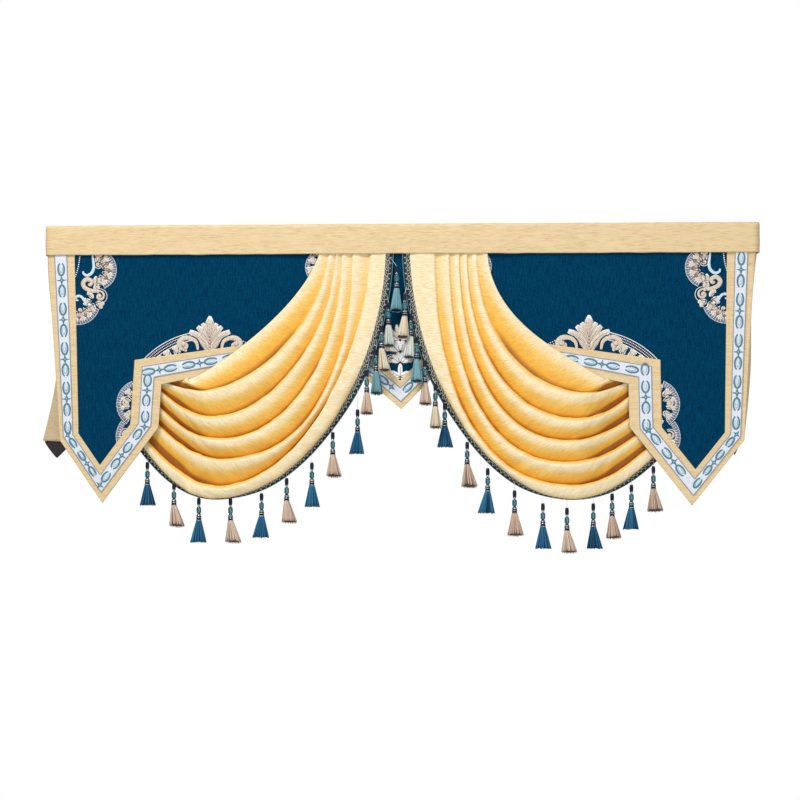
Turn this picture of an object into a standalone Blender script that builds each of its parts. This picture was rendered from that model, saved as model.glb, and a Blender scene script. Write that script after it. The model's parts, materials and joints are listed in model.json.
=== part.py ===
"""A swagged pelmet: two embroidered end panels with pointed tails, a small centre tail and two draped swags
with a tasselled trim, all sewn into one folded heading that turns back at its ends.

Metres, +Z up, the front faces -Y and +X is the viewer's right. The origin is the middle of the heading's top
edge, on the flat back of the heading.

Flat pieces are drawn in a pattern plane of two numbers: along, the distance along the heading from its middle,
and height, which is z. The wrap function bends that plane round the two corners of the heading.
"""

import math

import bmesh
import bpy
import numpy as np

# Driving dimensions of the heading, in metres
FRONT_HALF = 0.737
CORNER_RADIUS = 0.007
RETURN_DEPTH = 0.093
HEADING_DROP = 0.063
HEADING_DEPTH = 0.0092
PLEAT_ROOM = 0.0033
PLEATED_HALF, PLEATED_RAMP = 0.205, 0.070
HEADING_CLOTH = 0.0015
HEADING_FOLD = 0.0035
HEADING_FLAT_TOP = -0.012
TUCK_TOP = -0.052

# Layers in front of the heading's back plane, each the middle of its cloth
PANEL_LAYER, PANEL_CLOTH = 0.0028, 0.0016
BORDER_LAYER, BORDER_CLOTH = 0.0045, 0.0010
BRAID_LAYER, BRAID_CLOTH = 0.0060, 0.0010
SWAG_LAYER, SWAG_CLOTH = 0.0092, 0.0018

# The largest cells that a flat piece is cut into, so that it can bend, and a third of a corner's turn
CELL = 0.062
CELLS_ALONG, CELLS_DOWN, CORNER_CELLS = 11, 9, 3
CORNER_CELL = CORNER_RADIUS * math.pi / 2 / CORNER_CELLS
SOFT_ANGLE = math.radians(35)

# How the flat panels stand out of their plane: the tails lean forwards, and the outer part ripples
TAIL_LEAN, TAIL_LEAN_TOP, TAIL_LEAN_DROP = 0.0030, -0.33, 0.26
RIPPLE, RIPPLE_LENGTH, RIPPLE_FROM, RIPPLE_RAMP = 0.0008, 0.31, 0.45, 0.13

# Corners of the two end panels, outer top round to the inner end: (along, height)
LEFT_CORNERS = (
    (-0.7463, TUCK_TOP),
    (-0.7195, -0.456),
    (-0.628, -0.588),
    (-0.508, -0.428),
    (-0.502, -0.337),
    (-0.105, -0.256),
)
RIGHT_CORNERS = (
    (0.7422, TUCK_TOP),
    (0.7195, -0.453),
    (0.612, -0.589),
    (0.483, -0.426),
    (0.481, -0.336),
    (0.105, -0.254),
)
CENTRE_CORNERS = ((-0.098, -0.300), (0.0067, -0.389), (0.098, -0.297))
BORDER_END = 0.285

# Border widths on each stretch between two corners, measured in from the edge: where the braid starts, where
# it ends and where the border ends, first at the stretch's start and then at its end
END_PANEL_BANDS = (
    ((0.0140, 0.0420, 0.0580), (0.0075, 0.0290, 0.0400)),
    ((0.0105, 0.0305, 0.0410), (0.0105, 0.0305, 0.0410)),
    ((0.0140, 0.0390, 0.0520), (0.0140, 0.0390, 0.0520)),
    ((0.0150, 0.0445, 0.0590), (0.0150, 0.0445, 0.0590)),
    ((0.0170, 0.0440, 0.0590), (0.0130, 0.0330, 0.0440)),
)
CENTRE_BANDS = (
    ((0.0110, 0.0330, 0.0440), (0.0110, 0.0330, 0.0440)),
    ((0.0110, 0.0330, 0.0440), (0.0110, 0.0330, 0.0440)),
)

# Fold lines of each swag from its top edge to its bottom edge, as distances out from the middle and heights:
# place at the heading, lowest point, place where the line passes behind the tail, roundness of the fall at its
# top and at its foot, and how far the line stands in front of the heading's back plane at its lowest point
SWAG_FOLDS = {
    "left": (
        # head, low_out, low_z, tuck_out, tuck_z, round_above, round_below, forward
        (0.164, 0.446, -0.3295, 0.464, -0.3264, 1.40, 1.22, 0.0095),
        (0.143, 0.401, -0.3530, 0.494, -0.3350, 1.74, 1.74, 0.0240),
        (0.130, 0.390, -0.4130, 0.496, -0.3640, 1.85, 1.85, 0.0300),
        (0.117, 0.379, -0.4570, 0.496, -0.4020, 2.12, 2.12, 0.0340),
        (0.094, 0.369, -0.4990, 0.502, -0.4370, 2.29, 2.29, 0.0360),
        (0.055, 0.371, -0.5590, 0.528, -0.4730, 1.75, 1.75, 0.0360),
        (0.0256, 0.385, -0.5765, 0.536, -0.4800, 1.87, 1.87, 0.0340),
    ),
    "right": (
        (0.187, 0.434, -0.3290, 0.450, -0.3262, 1.85, 1.15, 0.0095),
        (0.162, 0.381, -0.3590, 0.474, -0.3360, 2.10, 2.10, 0.0240),
        (0.143, 0.375, -0.4160, 0.476, -0.3740, 2.19, 2.19, 0.0300),
        (0.127, 0.358, -0.4590, 0.477, -0.4190, 2.28, 2.28, 0.0340),
        (0.106, 0.357, -0.5060, 0.490, -0.4560, 2.34, 2.34, 0.0360),
        (0.075, 0.363, -0.5520, 0.508, -0.4890, 2.30, 2.30, 0.0360),
        (0.025, 0.361, -0.5745, 0.518, -0.5030, 1.86, 1.86, 0.0340),
    ),
}
FOLD_TOP = -0.052
TUCKED_FORWARD = -0.0038
TUCKED_REACH = 0.028
FALL_COLUMNS, RISE_COLUMNS, HIDDEN_COLUMNS = 14, 6, 1
CURVE_STEPS = 61

# One fold from its ridge to the next: share of the way at the heading, share in the belly, where each pocket
# opens behind the next roll, and how far the cloth stands out, 1 on a ridge and 0 in a pocket
FOLD_PROFILE = (
    # near_heading, in_belly, stand
    (0.00, 0.00, 1.00),
    (0.20, 0.22, 0.88),
    (0.40, 0.45, 0.60),
    (0.60, 0.68, 0.26),
    (0.82, 0.90, 0.00),
    (0.92, 0.86, 0.55),
)
PLEAT_DEPTH, BELLY_DEPTH, TUCKED_DEPTH = 0.0040, 0.0160, 0.0110
FIRST_FOLD_DEPTH = 0.62
FIRST_FOLD_CROWN = 0.0050

# The bottom roll, from the last ridge to the cloth's edge: share of the way where it hangs flat, share where
# it curls under, and how far it curls back
ROLL_PROFILE = (
    # flat, curled, back
    (0.25, 0.42, 0.0005),
    (0.50, 0.82, 0.0035),
    (0.75, 1.00, 0.0090),
    (1.00, 0.93, 0.0150),
)
CURL_STARTS, CURL_ENDS = 0.30, 0.62

# Trim along each swag's free edge
GIMP_WIDTH, GIMP_CLOTH, GIMP_LAP = 0.0120, 0.0015, 0.0015
GIMP_BEHIND = 0.0022
GIMP_TURN, GIMP_TURN_LOST = math.radians(68), 0.6

# A tassel from its loop down, as (drop, radius): loop, clear bead, teal bead, wound head
TASSEL_PROFILE = (
    (0.0000, 0.0011),
    (0.0120, 0.0011),
    (0.0145, 0.0024),
    (0.0170, 0.0013),
    (0.0220, 0.0041),
    (0.0300, 0.0041),
    (0.0345, 0.0020),
    (0.0390, 0.0048),
    (0.0490, 0.0062),
)
ROOT_GAP = 0.0006
LOCK_INSET = 0.0006
LOCK_UNEVEN = 0.0015
OUTER_LOCKS, INNER_LOCKS = 7, 6

# Tassels on the outer and lower edge: (x, top of the loop, colour, skirt height, skirt radius, sway)
OUTER_TASSELS = (
    (-0.537, -0.503, "blue", 0.045, 0.0125, 0.001),
    (-0.478, -0.545, "pink", 0.044, 0.0120, 0.007),
    (-0.422, -0.577, "blue", 0.047, 0.0125, -0.001),
    (-0.354, -0.577, "pink", 0.045, 0.0125, 0.006),
    (-0.288, -0.567, "blue", 0.046, 0.0130, -0.002),
    (-0.235, -0.535, "pink", 0.045, 0.0120, 0.006),
    (-0.182, -0.502, "blue", 0.046, 0.0120, 0.001),
    (-0.138, -0.438, "pink", 0.045, 0.0120, 0.003),
    (-0.085, -0.390, "blue", 0.046, 0.0120, -0.002),
    (0.098, -0.376, "blue", 0.046, 0.0125, 0.001),
    (0.145, -0.458, "pink", 0.046, 0.0125, 0.005),
    (0.188, -0.513, "blue", 0.047, 0.0130, -0.003),
    (0.244, -0.559, "pink", 0.046, 0.0125, 0.002),
    (0.303, -0.586, "blue", 0.047, 0.0125, 0.001),
    (0.353, -0.595, "pink", 0.045, 0.0120, 0.005),
    (0.408, -0.586, "blue", 0.047, 0.0120, 0.003),
    (0.448, -0.566, "pink", 0.045, 0.0120, 0.003),
    (0.489, -0.548, "blue", 0.046, 0.0125, -0.001),
    (0.535, -0.509, "pink", 0.046, 0.0125, 0.004),
)

# Tassels in the gap between the swags: (root height, x, top of the loop, colour, skirt height, sway, forward)
INNER_TASSELS = (
    (-0.072, -0.002, -0.090, "teal", 0.046, -0.001, 0.022),
    (-0.128, 0.0150, -0.148, "cream", 0.044, -0.004, 0.030),
    (-0.150, -0.0190, -0.166, "mint", 0.044, 0.001, 0.021),
    (-0.172, 0.0270, -0.190, "mint", 0.044, -0.003, 0.022),
    (-0.196, -0.0330, -0.215, "cream", 0.046, 0.006, 0.031),
    (-0.218, 0.0400, -0.238, "teal", 0.046, 0.001, 0.031),
    (-0.244, -0.0450, -0.263, "teal", 0.046, 0.001, 0.022),
    (-0.268, 0.0570, -0.287, "pink", 0.044, 0.001, 0.023),
    (-0.288, -0.0640, -0.307, "pink", 0.044, 0.000, 0.032),
    (-0.318, 0.0790, -0.336, "cream", 0.044, 0.001, 0.030),
)
INNER_SKIRT_RADIUS = 0.0100

# Flaps that hang from the heading's returns, with their edges as (x, y), and the height that the back edge
# starts to kick out from
RETURN_FLAPS = {
    # front edge at the heading and hem, back edge at the heading and hem, hem height
    "left": ((0.7506, 0.020), (0.712, 0.014), (0.7506, 0.095), (0.783, 0.090), -0.460),
    "right": ((0.7506, 0.020), (0.700, 0.014), (0.7506, 0.095), (0.735, 0.088), -0.450),
}
FLAP_KICK = -0.260
FLAP_CLOTH = 0.0015
LINING_CLOTH = 0.0012
LINING_GAP = 0.0008
LINING_TOP = -0.360
LINING_SIDES = (0.06, 0.94)
LINING_POINT, LINING_POINT_ACROSS = 0.036, 0.40

COLOURS = {
    # name: colour, roughness, metallic
    "crinkled_gold_satin": ((0.87, 0.66, 0.33), 0.55, 0.0),
    "pale_gold_border": ((0.86, 0.68, 0.40), 0.60, 0.0),
    "teal_chenille": ((0.004, 0.055, 0.130), 0.85, 0.0),
    "white_chain_braid": ((0.78, 0.84, 0.90), 0.65, 0.0),
    "grey_gimp": ((0.16, 0.22, 0.25), 0.75, 0.0),
    "dark_lining": ((0.035, 0.022, 0.028), 0.70, 0.0),
    "blue_tassel": ((0.015, 0.130, 0.320), 0.50, 0.0),
    "pink_tassel": ((0.640, 0.430, 0.330), 0.50, 0.0),
    "teal_tassel": ((0.090, 0.330, 0.400), 0.50, 0.0),
    "mint_tassel": ((0.640, 0.760, 0.660), 0.50, 0.0),
    "cream_tassel": ((0.720, 0.620, 0.470), 0.50, 0.0),
}


def smooth(share):
    """Eases a share from 0 to 1, level at both ends."""
    share = np.clip(share, 0.0, 1.0)
    return share * share * (3 - 2 * share)


def wrap(along, forward, height):
    """A point of the pattern plane, this far in front of the heading's back plane, bent round the corners."""
    side = 1.0 if along >= 0 else -1.0
    past = abs(along) - FRONT_HALF
    quarter = CORNER_RADIUS * math.pi / 2
    if past <= 0:
        return (along, -forward, height)
    radius = CORNER_RADIUS + forward
    if past < quarter:
        turn = past / CORNER_RADIUS
        return (side * (FRONT_HALF + radius * math.sin(turn)), CORNER_RADIUS - radius * math.cos(turn), height)
    return (side * (FRONT_HALF + radius), CORNER_RADIUS + past - quarter, height)


def panel_wave(along, height):
    """How far the flat panels stand out of their plane: the tails lean out a little and ripple."""
    tail = float(smooth((TAIL_LEAN_TOP - height) / TAIL_LEAN_DROP))
    outer = float(smooth((abs(along) - RIPPLE_FROM) / RIPPLE_RAMP))
    below = float(smooth((-HEADING_DROP - height) / RIPPLE_RAMP))
    return TAIL_LEAN * tail + RIPPLE * outer * below * math.sin(2 * math.pi * along / RIPPLE_LENGTH)


def heading_depth(along):
    """The heading is deepest where the pleats are packed into it."""
    return HEADING_DEPTH + PLEAT_ROOM * float(smooth((PLEATED_HALF + PLEATED_RAMP - abs(along)) / PLEATED_RAMP))


def material(name):
    colour, roughness, metallic = COLOURS[name]
    made = bpy.data.materials.get(name)
    if made is None:
        made = bpy.data.materials.new(name)
        made.use_nodes = True
        shader = made.node_tree.nodes["Principled BSDF"]
        shader.inputs["Base Color"].default_value = (*colour, 1.0)
        shader.inputs["Roughness"].default_value = roughness
        shader.inputs["Metallic"].default_value = metallic
    return made


def finished(name, bm, material_name, collection, cloth=0.0):
    """Turns a bmesh into a named object, and gives a sheet its thickness on both sides."""
    mesh = bpy.data.meshes.new(name)
    bm.to_mesh(mesh)
    bm.free()
    mesh.materials.append(material(material_name))
    mesh.shade_smooth()
    mesh.set_sharp_from_angle(angle=SOFT_ANGLE)
    made = bpy.data.objects.new(name, mesh)
    collection.objects.link(made)
    if cloth:
        solidify = made.modifiers.new("Cloth thickness", "SOLIDIFY")
        solidify.thickness = cloth
        solidify.offset = 0.0
        solidify.use_even_offset = False
    return made


def offset_line(corners, widths):
    """The line at these widths in from each stretch of an open outline, mitred at its corners. Each width is
    (at the stretch's start, at its end), and inwards is to the left of the way along the outline."""
    lines = []
    for (start, end), (near, far) in zip(zip(corners, corners[1:]), widths):
        start, end = np.array(start), np.array(end)
        way = (end - start) / np.linalg.norm(end - start)
        inward = np.array((-way[1], way[0]))
        lines.append((start + inward * near, end + inward * far))
    points = [lines[0][0]]
    for (a, b), (c, d) in zip(lines, lines[1:]):
        first, second = b - a, d - c
        across = first[0] * second[1] - first[1] * second[0]
        share = ((c[0] - a[0]) * second[1] - (c[1] - a[1]) * second[0]) / across
        points.append(a + first * share)
    points.append(lines[-1][1])
    return [tuple(point) for point in points]


def cut_into_cells(bm):
    """Cuts flat faces in the pattern plane along a grid, finer where the heading's corners bend them."""
    alongs = list(np.arange(-CELLS_ALONG, CELLS_ALONG + 1) * CELL)
    steps = FRONT_HALF + np.arange(0, CORNER_CELLS + 1) * CORNER_CELL
    for along in alongs + list(steps) + list(-steps):
        cut = bm.verts[:] + bm.edges[:] + bm.faces[:]
        bmesh.ops.bisect_plane(bm, geom=cut, dist=1e-6, plane_co=(along, 0, 0), plane_no=(1, 0, 0))
    for step in range(1, CELLS_DOWN + 1):
        cut = bm.verts[:] + bm.edges[:] + bm.faces[:]
        bmesh.ops.bisect_plane(bm, geom=cut, dist=1e-6, plane_co=(0, 0, -CELL * step), plane_no=(0, 0, 1))


def flat_piece(name, polygons, layer, cloth, material_name, collection):
    """A flat cloth from polygons of pattern points that share their edges."""
    bm = bmesh.new()
    for polygon in polygons:
        bm.faces.new([bm.verts.new((along, 0.0, height)) for along, height in polygon])
    bmesh.ops.remove_doubles(bm, verts=bm.verts, dist=1e-5)
    cut_into_cells(bm)
    bmesh.ops.triangulate(bm, faces=bm.faces, quad_method="BEAUTY", ngon_method="BEAUTY")
    for vert in bm.verts:
        along, height = vert.co.x, vert.co.z
        vert.co = wrap(along, layer + panel_wave(along, height), height)
    bmesh.ops.recalc_face_normals(bm, faces=bm.faces)
    return finished(name, bm, material_name, collection, cloth)


def strip_polygons(first, second):
    """The four-sided pieces between two lines that have the same number of points."""
    return [
        (first[i], first[i + 1], second[i + 1], second[i]) for i in range(len(first) - 1)
    ]


def border_lines(corners, bands, inward_left):
    """The four lines of a border: outer edge, braid start, braid end and border end."""
    turned = 1.0 if inward_left else -1.0
    return [list(corners)] + [
        offset_line(corners, [(turned * near[i], turned * far[i]) for near, far in bands]) for i in range(3)
    ]


def shortened(corners, reach):
    """The outline with its last stretch cut where it reaches this distance from the middle."""
    (a, b), (c, d) = corners[-2], corners[-1]
    side = 1.0 if a > 0 else -1.0
    share = (side * reach - a) / (c - a)
    return list(corners[:-1]) + [(side * reach, b + share * (d - b))]


def make_end_panel(side, corners, collection):
    """An end panel is a pointed tail with a shallow part that runs on behind the swag, with a border and a
    braid sewn on it."""
    outer_top, shoulder, tip, inner_shoulder, step, inner_end = corners
    top_at_step = (step[0], TUCK_TOP)
    tail = (outer_top, shoulder, tip, inner_shoulder, step, top_at_step)
    shallow = (top_at_step, step, inner_end, (inner_end[0], TUCK_TOP))
    flat_piece(f"{side}_panel", (tail, shallow), PANEL_LAYER, PANEL_CLOTH, "teal_chenille", collection)
    lines = border_lines(shortened(corners, BORDER_END), END_PANEL_BANDS, side == "left")
    for line in lines[1:]:
        line[0] = (line[0][0], TUCK_TOP)
    flat_piece(
        f"{side}_border", strip_polygons(lines[0], lines[3]), BORDER_LAYER, BORDER_CLOTH,
        "pale_gold_border", collection,
    )
    flat_piece(
        f"{side}_braid", strip_polygons(lines[1], lines[2]), BRAID_LAYER, BRAID_CLOTH,
        "white_chain_braid", collection,
    )


def level_with(inner, outer, along):
    """The point at this distance along on the straight line through two points."""
    share = (along - inner[0]) / (outer[0] - inner[0])
    return (along, inner[1] + share * (outer[1] - inner[1]))


def make_centre_tail(collection):
    left, tip, right = CENTRE_CORNERS
    outline = ((left[0], TUCK_TOP), left, tip, right, (right[0], TUCK_TOP))
    flat_piece("centre_tail", (outline,), PANEL_LAYER, PANEL_CLOTH, "teal_chenille", collection)
    lines = border_lines(CENTRE_CORNERS, CENTRE_BANDS, True)
    for line in lines[1:]:
        line[0] = level_with(line[1], line[0], left[0])
        line[-1] = level_with(line[-2], line[-1], right[0])
    flat_piece(
        "centre_border", strip_polygons(lines[0], lines[3]), BORDER_LAYER, BORDER_CLOTH,
        "pale_gold_border", collection,
    )
    flat_piece(
        "centre_braid", strip_polygons(lines[1], lines[2]), BRAID_LAYER, BRAID_CLOTH,
        "white_chain_braid", collection,
    )


def make_heading(collection):
    """The heading is one strip folded over at the top and open below, with the other cloths between its two
    layers."""
    quarter = CORNER_RADIUS * math.pi / 2
    front = list(np.linspace(-FRONT_HALF, FRONT_HALF, 25))
    corner = list(FRONT_HALF + np.arange(1, CORNER_CELLS) * CORNER_CELL)
    outer = corner + [FRONT_HALF + quarter, FRONT_HALF + quarter + RETURN_DEPTH]
    stations = [-along for along in reversed(outer)] + front + outer
    half = HEADING_CLOTH / 2
    bm = bmesh.new()
    rows = []
    for along in stations:
        depth = heading_depth(along)
        section = (
            (half, -HEADING_DROP),
            (half, HEADING_FLAT_TOP),
            (half, -HEADING_FOLD),
            (HEADING_FOLD, -half),
            (depth - HEADING_FOLD, -half),
            (depth - half, -HEADING_FOLD),
            (depth - half, -HEADING_DROP),
        )
        rows.append([bm.verts.new(wrap(along, forward, height)) for forward, height in section])
    for row, after in zip(rows, rows[1:]):
        for i in range(len(row) - 1):
            bm.faces.new((row[i], row[i + 1], after[i + 1], after[i]))
    bmesh.ops.recalc_face_normals(bm, faces=bm.faces)
    made = finished("heading", bm, "pale_gold_border", collection, HEADING_CLOTH)
    made.modifiers["Cloth thickness"].use_even_offset = True
    return made


def fold_line(fold):
    """One fold line as columns of (out, z): the fall is a quarter of a superellipse, and the rise a parabola
    that runs on straight behind the tail."""
    head, low_out, low_z, tuck_out, tuck_z, round_above, round_below, _ = fold
    angle = np.linspace(0, math.pi / 2, CURVE_STEPS)
    roundness = np.linspace(round_above, round_below, CURVE_STEPS)
    reach = (np.cos(angle) ** roundness + np.sin(angle) ** roundness) ** (-1 / roundness)
    fall_out = low_out + (head - low_out) * reach * np.cos(angle)
    fall_z = FOLD_TOP - (FOLD_TOP - low_z) * reach * np.sin(angle)
    length = np.concatenate([[0], np.cumsum(np.hypot(np.diff(fall_out), np.diff(fall_z)))])
    even = np.linspace(0, length[-1], FALL_COLUMNS + 1)
    rise = np.linspace(0, 1, RISE_COLUMNS + 1)[1:]
    slope = 2 * (tuck_z - low_z) / (tuck_out - low_out)
    hidden = np.linspace(0, 1, HIDDEN_COLUMNS + 1)[1:] * TUCKED_REACH
    rise_out = low_out + (tuck_out - low_out) * rise
    rise_z = low_z + (tuck_z - low_z) * rise**2
    out = np.concatenate([np.interp(even, length, fall_out), rise_out, tuck_out + hidden])
    z = np.concatenate([np.interp(even, length, fall_z), rise_z, tuck_z + slope * hidden])
    return out, z


def fall_and_rise():
    """How far each column is down the fall and up the rise, both from 0 to 1."""
    column = np.arange(FALL_COLUMNS + RISE_COLUMNS + HIDDEN_COLUMNS + 1)
    return np.clip(column / FALL_COLUMNS, 0, 1), np.clip((column - FALL_COLUMNS) / RISE_COLUMNS, 0, 1)


def stand_of(forward):
    """How far a fold line stands out, column by column: flat at the heading, full in the belly, behind the
    tail at the end."""
    fall, rise = fall_and_rise()
    out = SWAG_LAYER + (forward - SWAG_LAYER) * smooth(fall)
    return out + (TUCKED_FORWARD - out) * smooth(rise)


def swag_rows(folds):
    """The swag's rows from its top edge to its bottom edge, each an array of (out, forward, z) by column."""
    fall, rise = fall_and_rise()
    depth = PLEAT_DEPTH + (BELLY_DEPTH - PLEAT_DEPTH) * smooth(fall)
    depth = depth + (TUCKED_DEPTH - depth) * smooth(rise)
    lines = [fold_line(fold) for fold in folds]
    stands = [stand_of(fold[-1]) for fold in folds]
    rows = []
    for number in range(len(folds) - 2):
        (out, z), (next_out, next_z) = lines[number], lines[number + 1]
        deep = depth * (FIRST_FOLD_DEPTH if number == 0 else 1.0)
        crown = FIRST_FOLD_CROWN * smooth(fall) * (1 - rise) if number == 0 else 0.0
        for near_heading, in_belly, stand in FOLD_PROFILE:
            share = near_heading + (in_belly - near_heading) * smooth(fall)
            sunk = 0.0 if number == 0 and share[0] == 0 else 1 - stand
            forward = stands[number] + (stands[number + 1] - stands[number]) * share - deep * sunk
            forward = forward + crown * np.sin(math.pi * share)
            rows.append(np.stack([out + (next_out - out) * share, forward, z + (next_z - z) * share], axis=1))
    (out, z), (edge_out, edge_z) = lines[-2], lines[-1]
    rows.append(np.stack([out, stands[-2], z], axis=1))
    curl = smooth((fall - CURL_STARTS) / (CURL_ENDS - CURL_STARTS))
    for flat, curled, back in ROLL_PROFILE:
        share = flat + (curled - flat) * curl
        forward = stands[-2] + (stands[-1] - stands[-2]) * share - back * curl * (1 - rise / 2)
        rows.append(np.stack([out + (edge_out - out) * share, forward, z + (edge_z - z) * share], axis=1))
    return rows


def grid_mesh(rows):
    bm = bmesh.new()
    made = [[bm.verts.new(point) for point in row] for row in rows]
    for row, after in zip(made, made[1:]):
        for i in range(len(row) - 1):
            bm.faces.new((row[i], row[i + 1], after[i + 1], after[i]))
    bmesh.ops.recalc_face_normals(bm, faces=bm.faces)
    return bm


def placed(row, sign):
    """Rows of (out, forward, z) as points of the part."""
    return [(sign * out, -forward, z) for out, forward, z in row]


def gimp_rows(rows):
    """The trim's inner and outer edge: it laps behind the cloth's edge, lies flat beside it near the heading
    and turns back under the roll in the belly."""
    fall, rise = fall_and_rise()
    edge = rows[-1]
    way = np.gradient(edge[:, [0, 2]], axis=0)
    way = way / np.linalg.norm(way, axis=1)[:, None]
    outward = np.stack([way[:, 1], -way[:, 0]], axis=1)
    curl = smooth((fall - CURL_STARTS) / (CURL_ENDS - CURL_STARTS))
    turn = GIMP_TURN * curl * (1 - GIMP_TURN_LOST * smooth(rise))
    lap = edge.copy()
    lap[:, [0, 2]] -= outward * (GIMP_LAP * np.cos(turn) + GIMP_BEHIND * np.sin(turn))[:, None]
    lap[:, 1] += GIMP_LAP * np.sin(turn) - GIMP_BEHIND * np.cos(turn)
    far = lap.copy()
    far[:, [0, 2]] += outward * (GIMP_WIDTH * np.cos(turn))[:, None]
    far[:, 1] -= GIMP_WIDTH * np.sin(turn)
    return lap, far, outward


def make_swag(side, collection):
    """A swag, and its trim. Returns the trim's outer edge, which the tassels hang from."""
    sign = -1.0 if side == "left" else 1.0
    rows = swag_rows(SWAG_FOLDS[side])
    swag = grid_mesh([placed(row, sign) for row in rows])
    finished(f"{side}_swag", swag, "crinkled_gold_satin", collection, SWAG_CLOTH)
    lap, far, outward = gimp_rows(rows)
    gimp = grid_mesh([placed(lap, sign), placed(far, sign)])
    finished(f"{side}_gimp", gimp, "grey_gimp", collection, GIMP_CLOTH)
    return sign, far, outward


def tassel_root(edge, place, by_height):
    """Where a tassel hangs from the trim: beside its outer edge, at this height or this far out."""
    sign, far, outward = edge
    key = far[:, 2] if by_height else far[:, 0]
    reach = FALL_COLUMNS + 1 if by_height else len(key)
    order = np.argsort(key[:reach])
    at = [np.interp(place, key[:reach][order], far[:reach, i][order]) for i in range(3)]
    away = [np.interp(place, key[:reach][order], outward[:reach, i][order]) for i in range(2)]
    gap = ROOT_GAP + TASSEL_PROFILE[0][1] * abs(away[0])
    return sign * (at[0] + away[0] * gap), -at[1], at[2] + away[1] * gap


def make_tassel(name, root, top, colour, skirt_height, skirt_radius, sway, locks, collection):
    """A turned stem of loop, beads and head, whose bottom is parted into wedges that run down as locks."""
    bm = bmesh.new()
    profile = [bm.verts.new((radius, 0.0, -drop)) for drop, radius in TASSEL_PROFILE]
    edges = [bm.edges.new(pair) for pair in zip(profile, profile[1:])]
    bmesh.ops.spin(
        bm, geom=profile + edges, cent=(0, 0, 0), axis=(0, 0, 1), angle=2 * math.pi, steps=locks,
        use_duplicate=False,
    )
    bmesh.ops.remove_doubles(bm, verts=bm.verts, dist=1e-6)
    bmesh.ops.holes_fill(bm, edges=[edge for edge in bm.edges if edge.is_boundary], sides=0)
    bmesh.ops.recalc_face_normals(bm, faces=bm.faces)
    neck_drop, neck = TASSEL_PROFILE[-1]
    bottom = [face for face in bm.faces if face.calc_center_median().z < -neck_drop + 1e-5]
    wedges = bmesh.ops.poke(bm, faces=bottom)["faces"]
    bmesh.ops.inset_individual(bm, faces=wedges, thickness=LOCK_INSET)
    ends = bmesh.ops.extrude_discrete_faces(bm, faces=wedges)["faces"]
    spread = skirt_radius / neck
    for number, face in enumerate(ends):
        uneven = LOCK_UNEVEN * math.sin(math.radians(137.5) * number)
        for vert in face.verts:
            vert.co.x = vert.co.x * spread + sway
            vert.co.y = vert.co.y * spread
            vert.co.z = -neck_drop - skirt_height + uneven
    for vert in bm.verts:
        if vert.co.z > -1e-6:
            vert.co.x += root[0] - top[0]
            vert.co.y += root[1] - top[1]
            vert.co.z = root[2] - top[2]
    tassel = finished(name, bm, f"{colour}_tassel", collection)
    tassel.location = top
    return tassel


def make_tassels(left_edge, right_edge, collection):
    number = 0
    for x, top, colour, skirt_height, skirt_radius, sway in OUTER_TASSELS:
        number += 1
        edge = left_edge if x < 0 else right_edge
        root = tassel_root(edge, abs(x), False)
        hang = (root[0], root[1], min(top, root[2]))
        make_tassel(
            f"tassel_{number:02d}", root, hang, colour, skirt_height, skirt_radius, sway, OUTER_LOCKS,
            collection,
        )
    for root_height, x, top, colour, skirt_height, sway, forward in INNER_TASSELS:
        number += 1
        edge = left_edge if x < 0 else right_edge
        root = tassel_root(edge, root_height, True)
        make_tassel(
            f"tassel_{number:02d}", root, (x, -forward, top), colour, skirt_height, INNER_SKIRT_RADIUS, sway,
            INNER_LOCKS, collection,
        )


def flap_point(flap, across, height, inside):
    """A point of a return's flap: across runs from its front edge to its back edge, and the hem kicks out."""
    front_top, front_hem, back_top, back_hem, hem = flap
    down = (TUCK_TOP - height) / (TUCK_TOP - hem)
    kick = 2 * float(smooth((FLAP_KICK - height) / (FLAP_KICK - hem) / 2))
    front = np.array(front_top) + (np.array(front_hem) - np.array(front_top)) * down
    back = np.array(back_top) + (np.array(back_hem) - np.array(back_top)) * kick
    point = front + (back - front) * across
    way = (back - front) / np.linalg.norm(back - front)
    return point + np.array((-way[1], way[0])) * inside


def make_return_flap(side, collection):
    """A flap that hangs from the heading's return, and the dark lining that shows below its hem as a point."""
    sign = -1.0 if side == "left" else 1.0
    flap = RETURN_FLAPS[side]
    hem = flap[-1]
    heights = np.linspace(TUCK_TOP, hem, 13)
    rows = []
    for height in heights:
        row = [flap_point(flap, across, height, 0.0) for across in np.linspace(0, 1, 6)]
        rows.append([(sign * x, y, height) for x, y in row])
    finished(f"{side}_return", grid_mesh(rows), "pale_gold_border", collection, FLAP_CLOTH)
    inside = (FLAP_CLOTH + LINING_CLOTH) / 2 + LINING_GAP
    rows = []
    for level in np.linspace(0, 1, 7):
        row = []
        for across in np.linspace(*LINING_SIDES, 5):
            below = LINING_POINT * (1 - abs(across - LINING_POINT_ACROSS) / (1 - LINING_POINT_ACROSS))
            height = LINING_TOP + (hem - below - LINING_TOP) * level
            x, y = flap_point(flap, across, height, inside)
            row.append((sign * x, y, height))
        rows.append(row)
    finished(f"{side}_return_lining", grid_mesh(rows), "dark_lining", collection, LINING_CLOTH)


def main():
    for old in list(bpy.data.objects):
        bpy.data.objects.remove(old, do_unlink=True)
    collection = bpy.data.collections.new("embroidered_curtain")
    bpy.context.scene.collection.children.link(collection)
    make_heading(collection)
    make_end_panel("left", LEFT_CORNERS, collection)
    make_end_panel("right", RIGHT_CORNERS, collection)
    make_centre_tail(collection)
    left_edge = make_swag("left", collection)
    right_edge = make_swag("right", collection)
    make_tassels(left_edge, right_edge, collection)
    make_return_flap("left", collection)
    make_return_flap("right", collection)


main()
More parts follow.
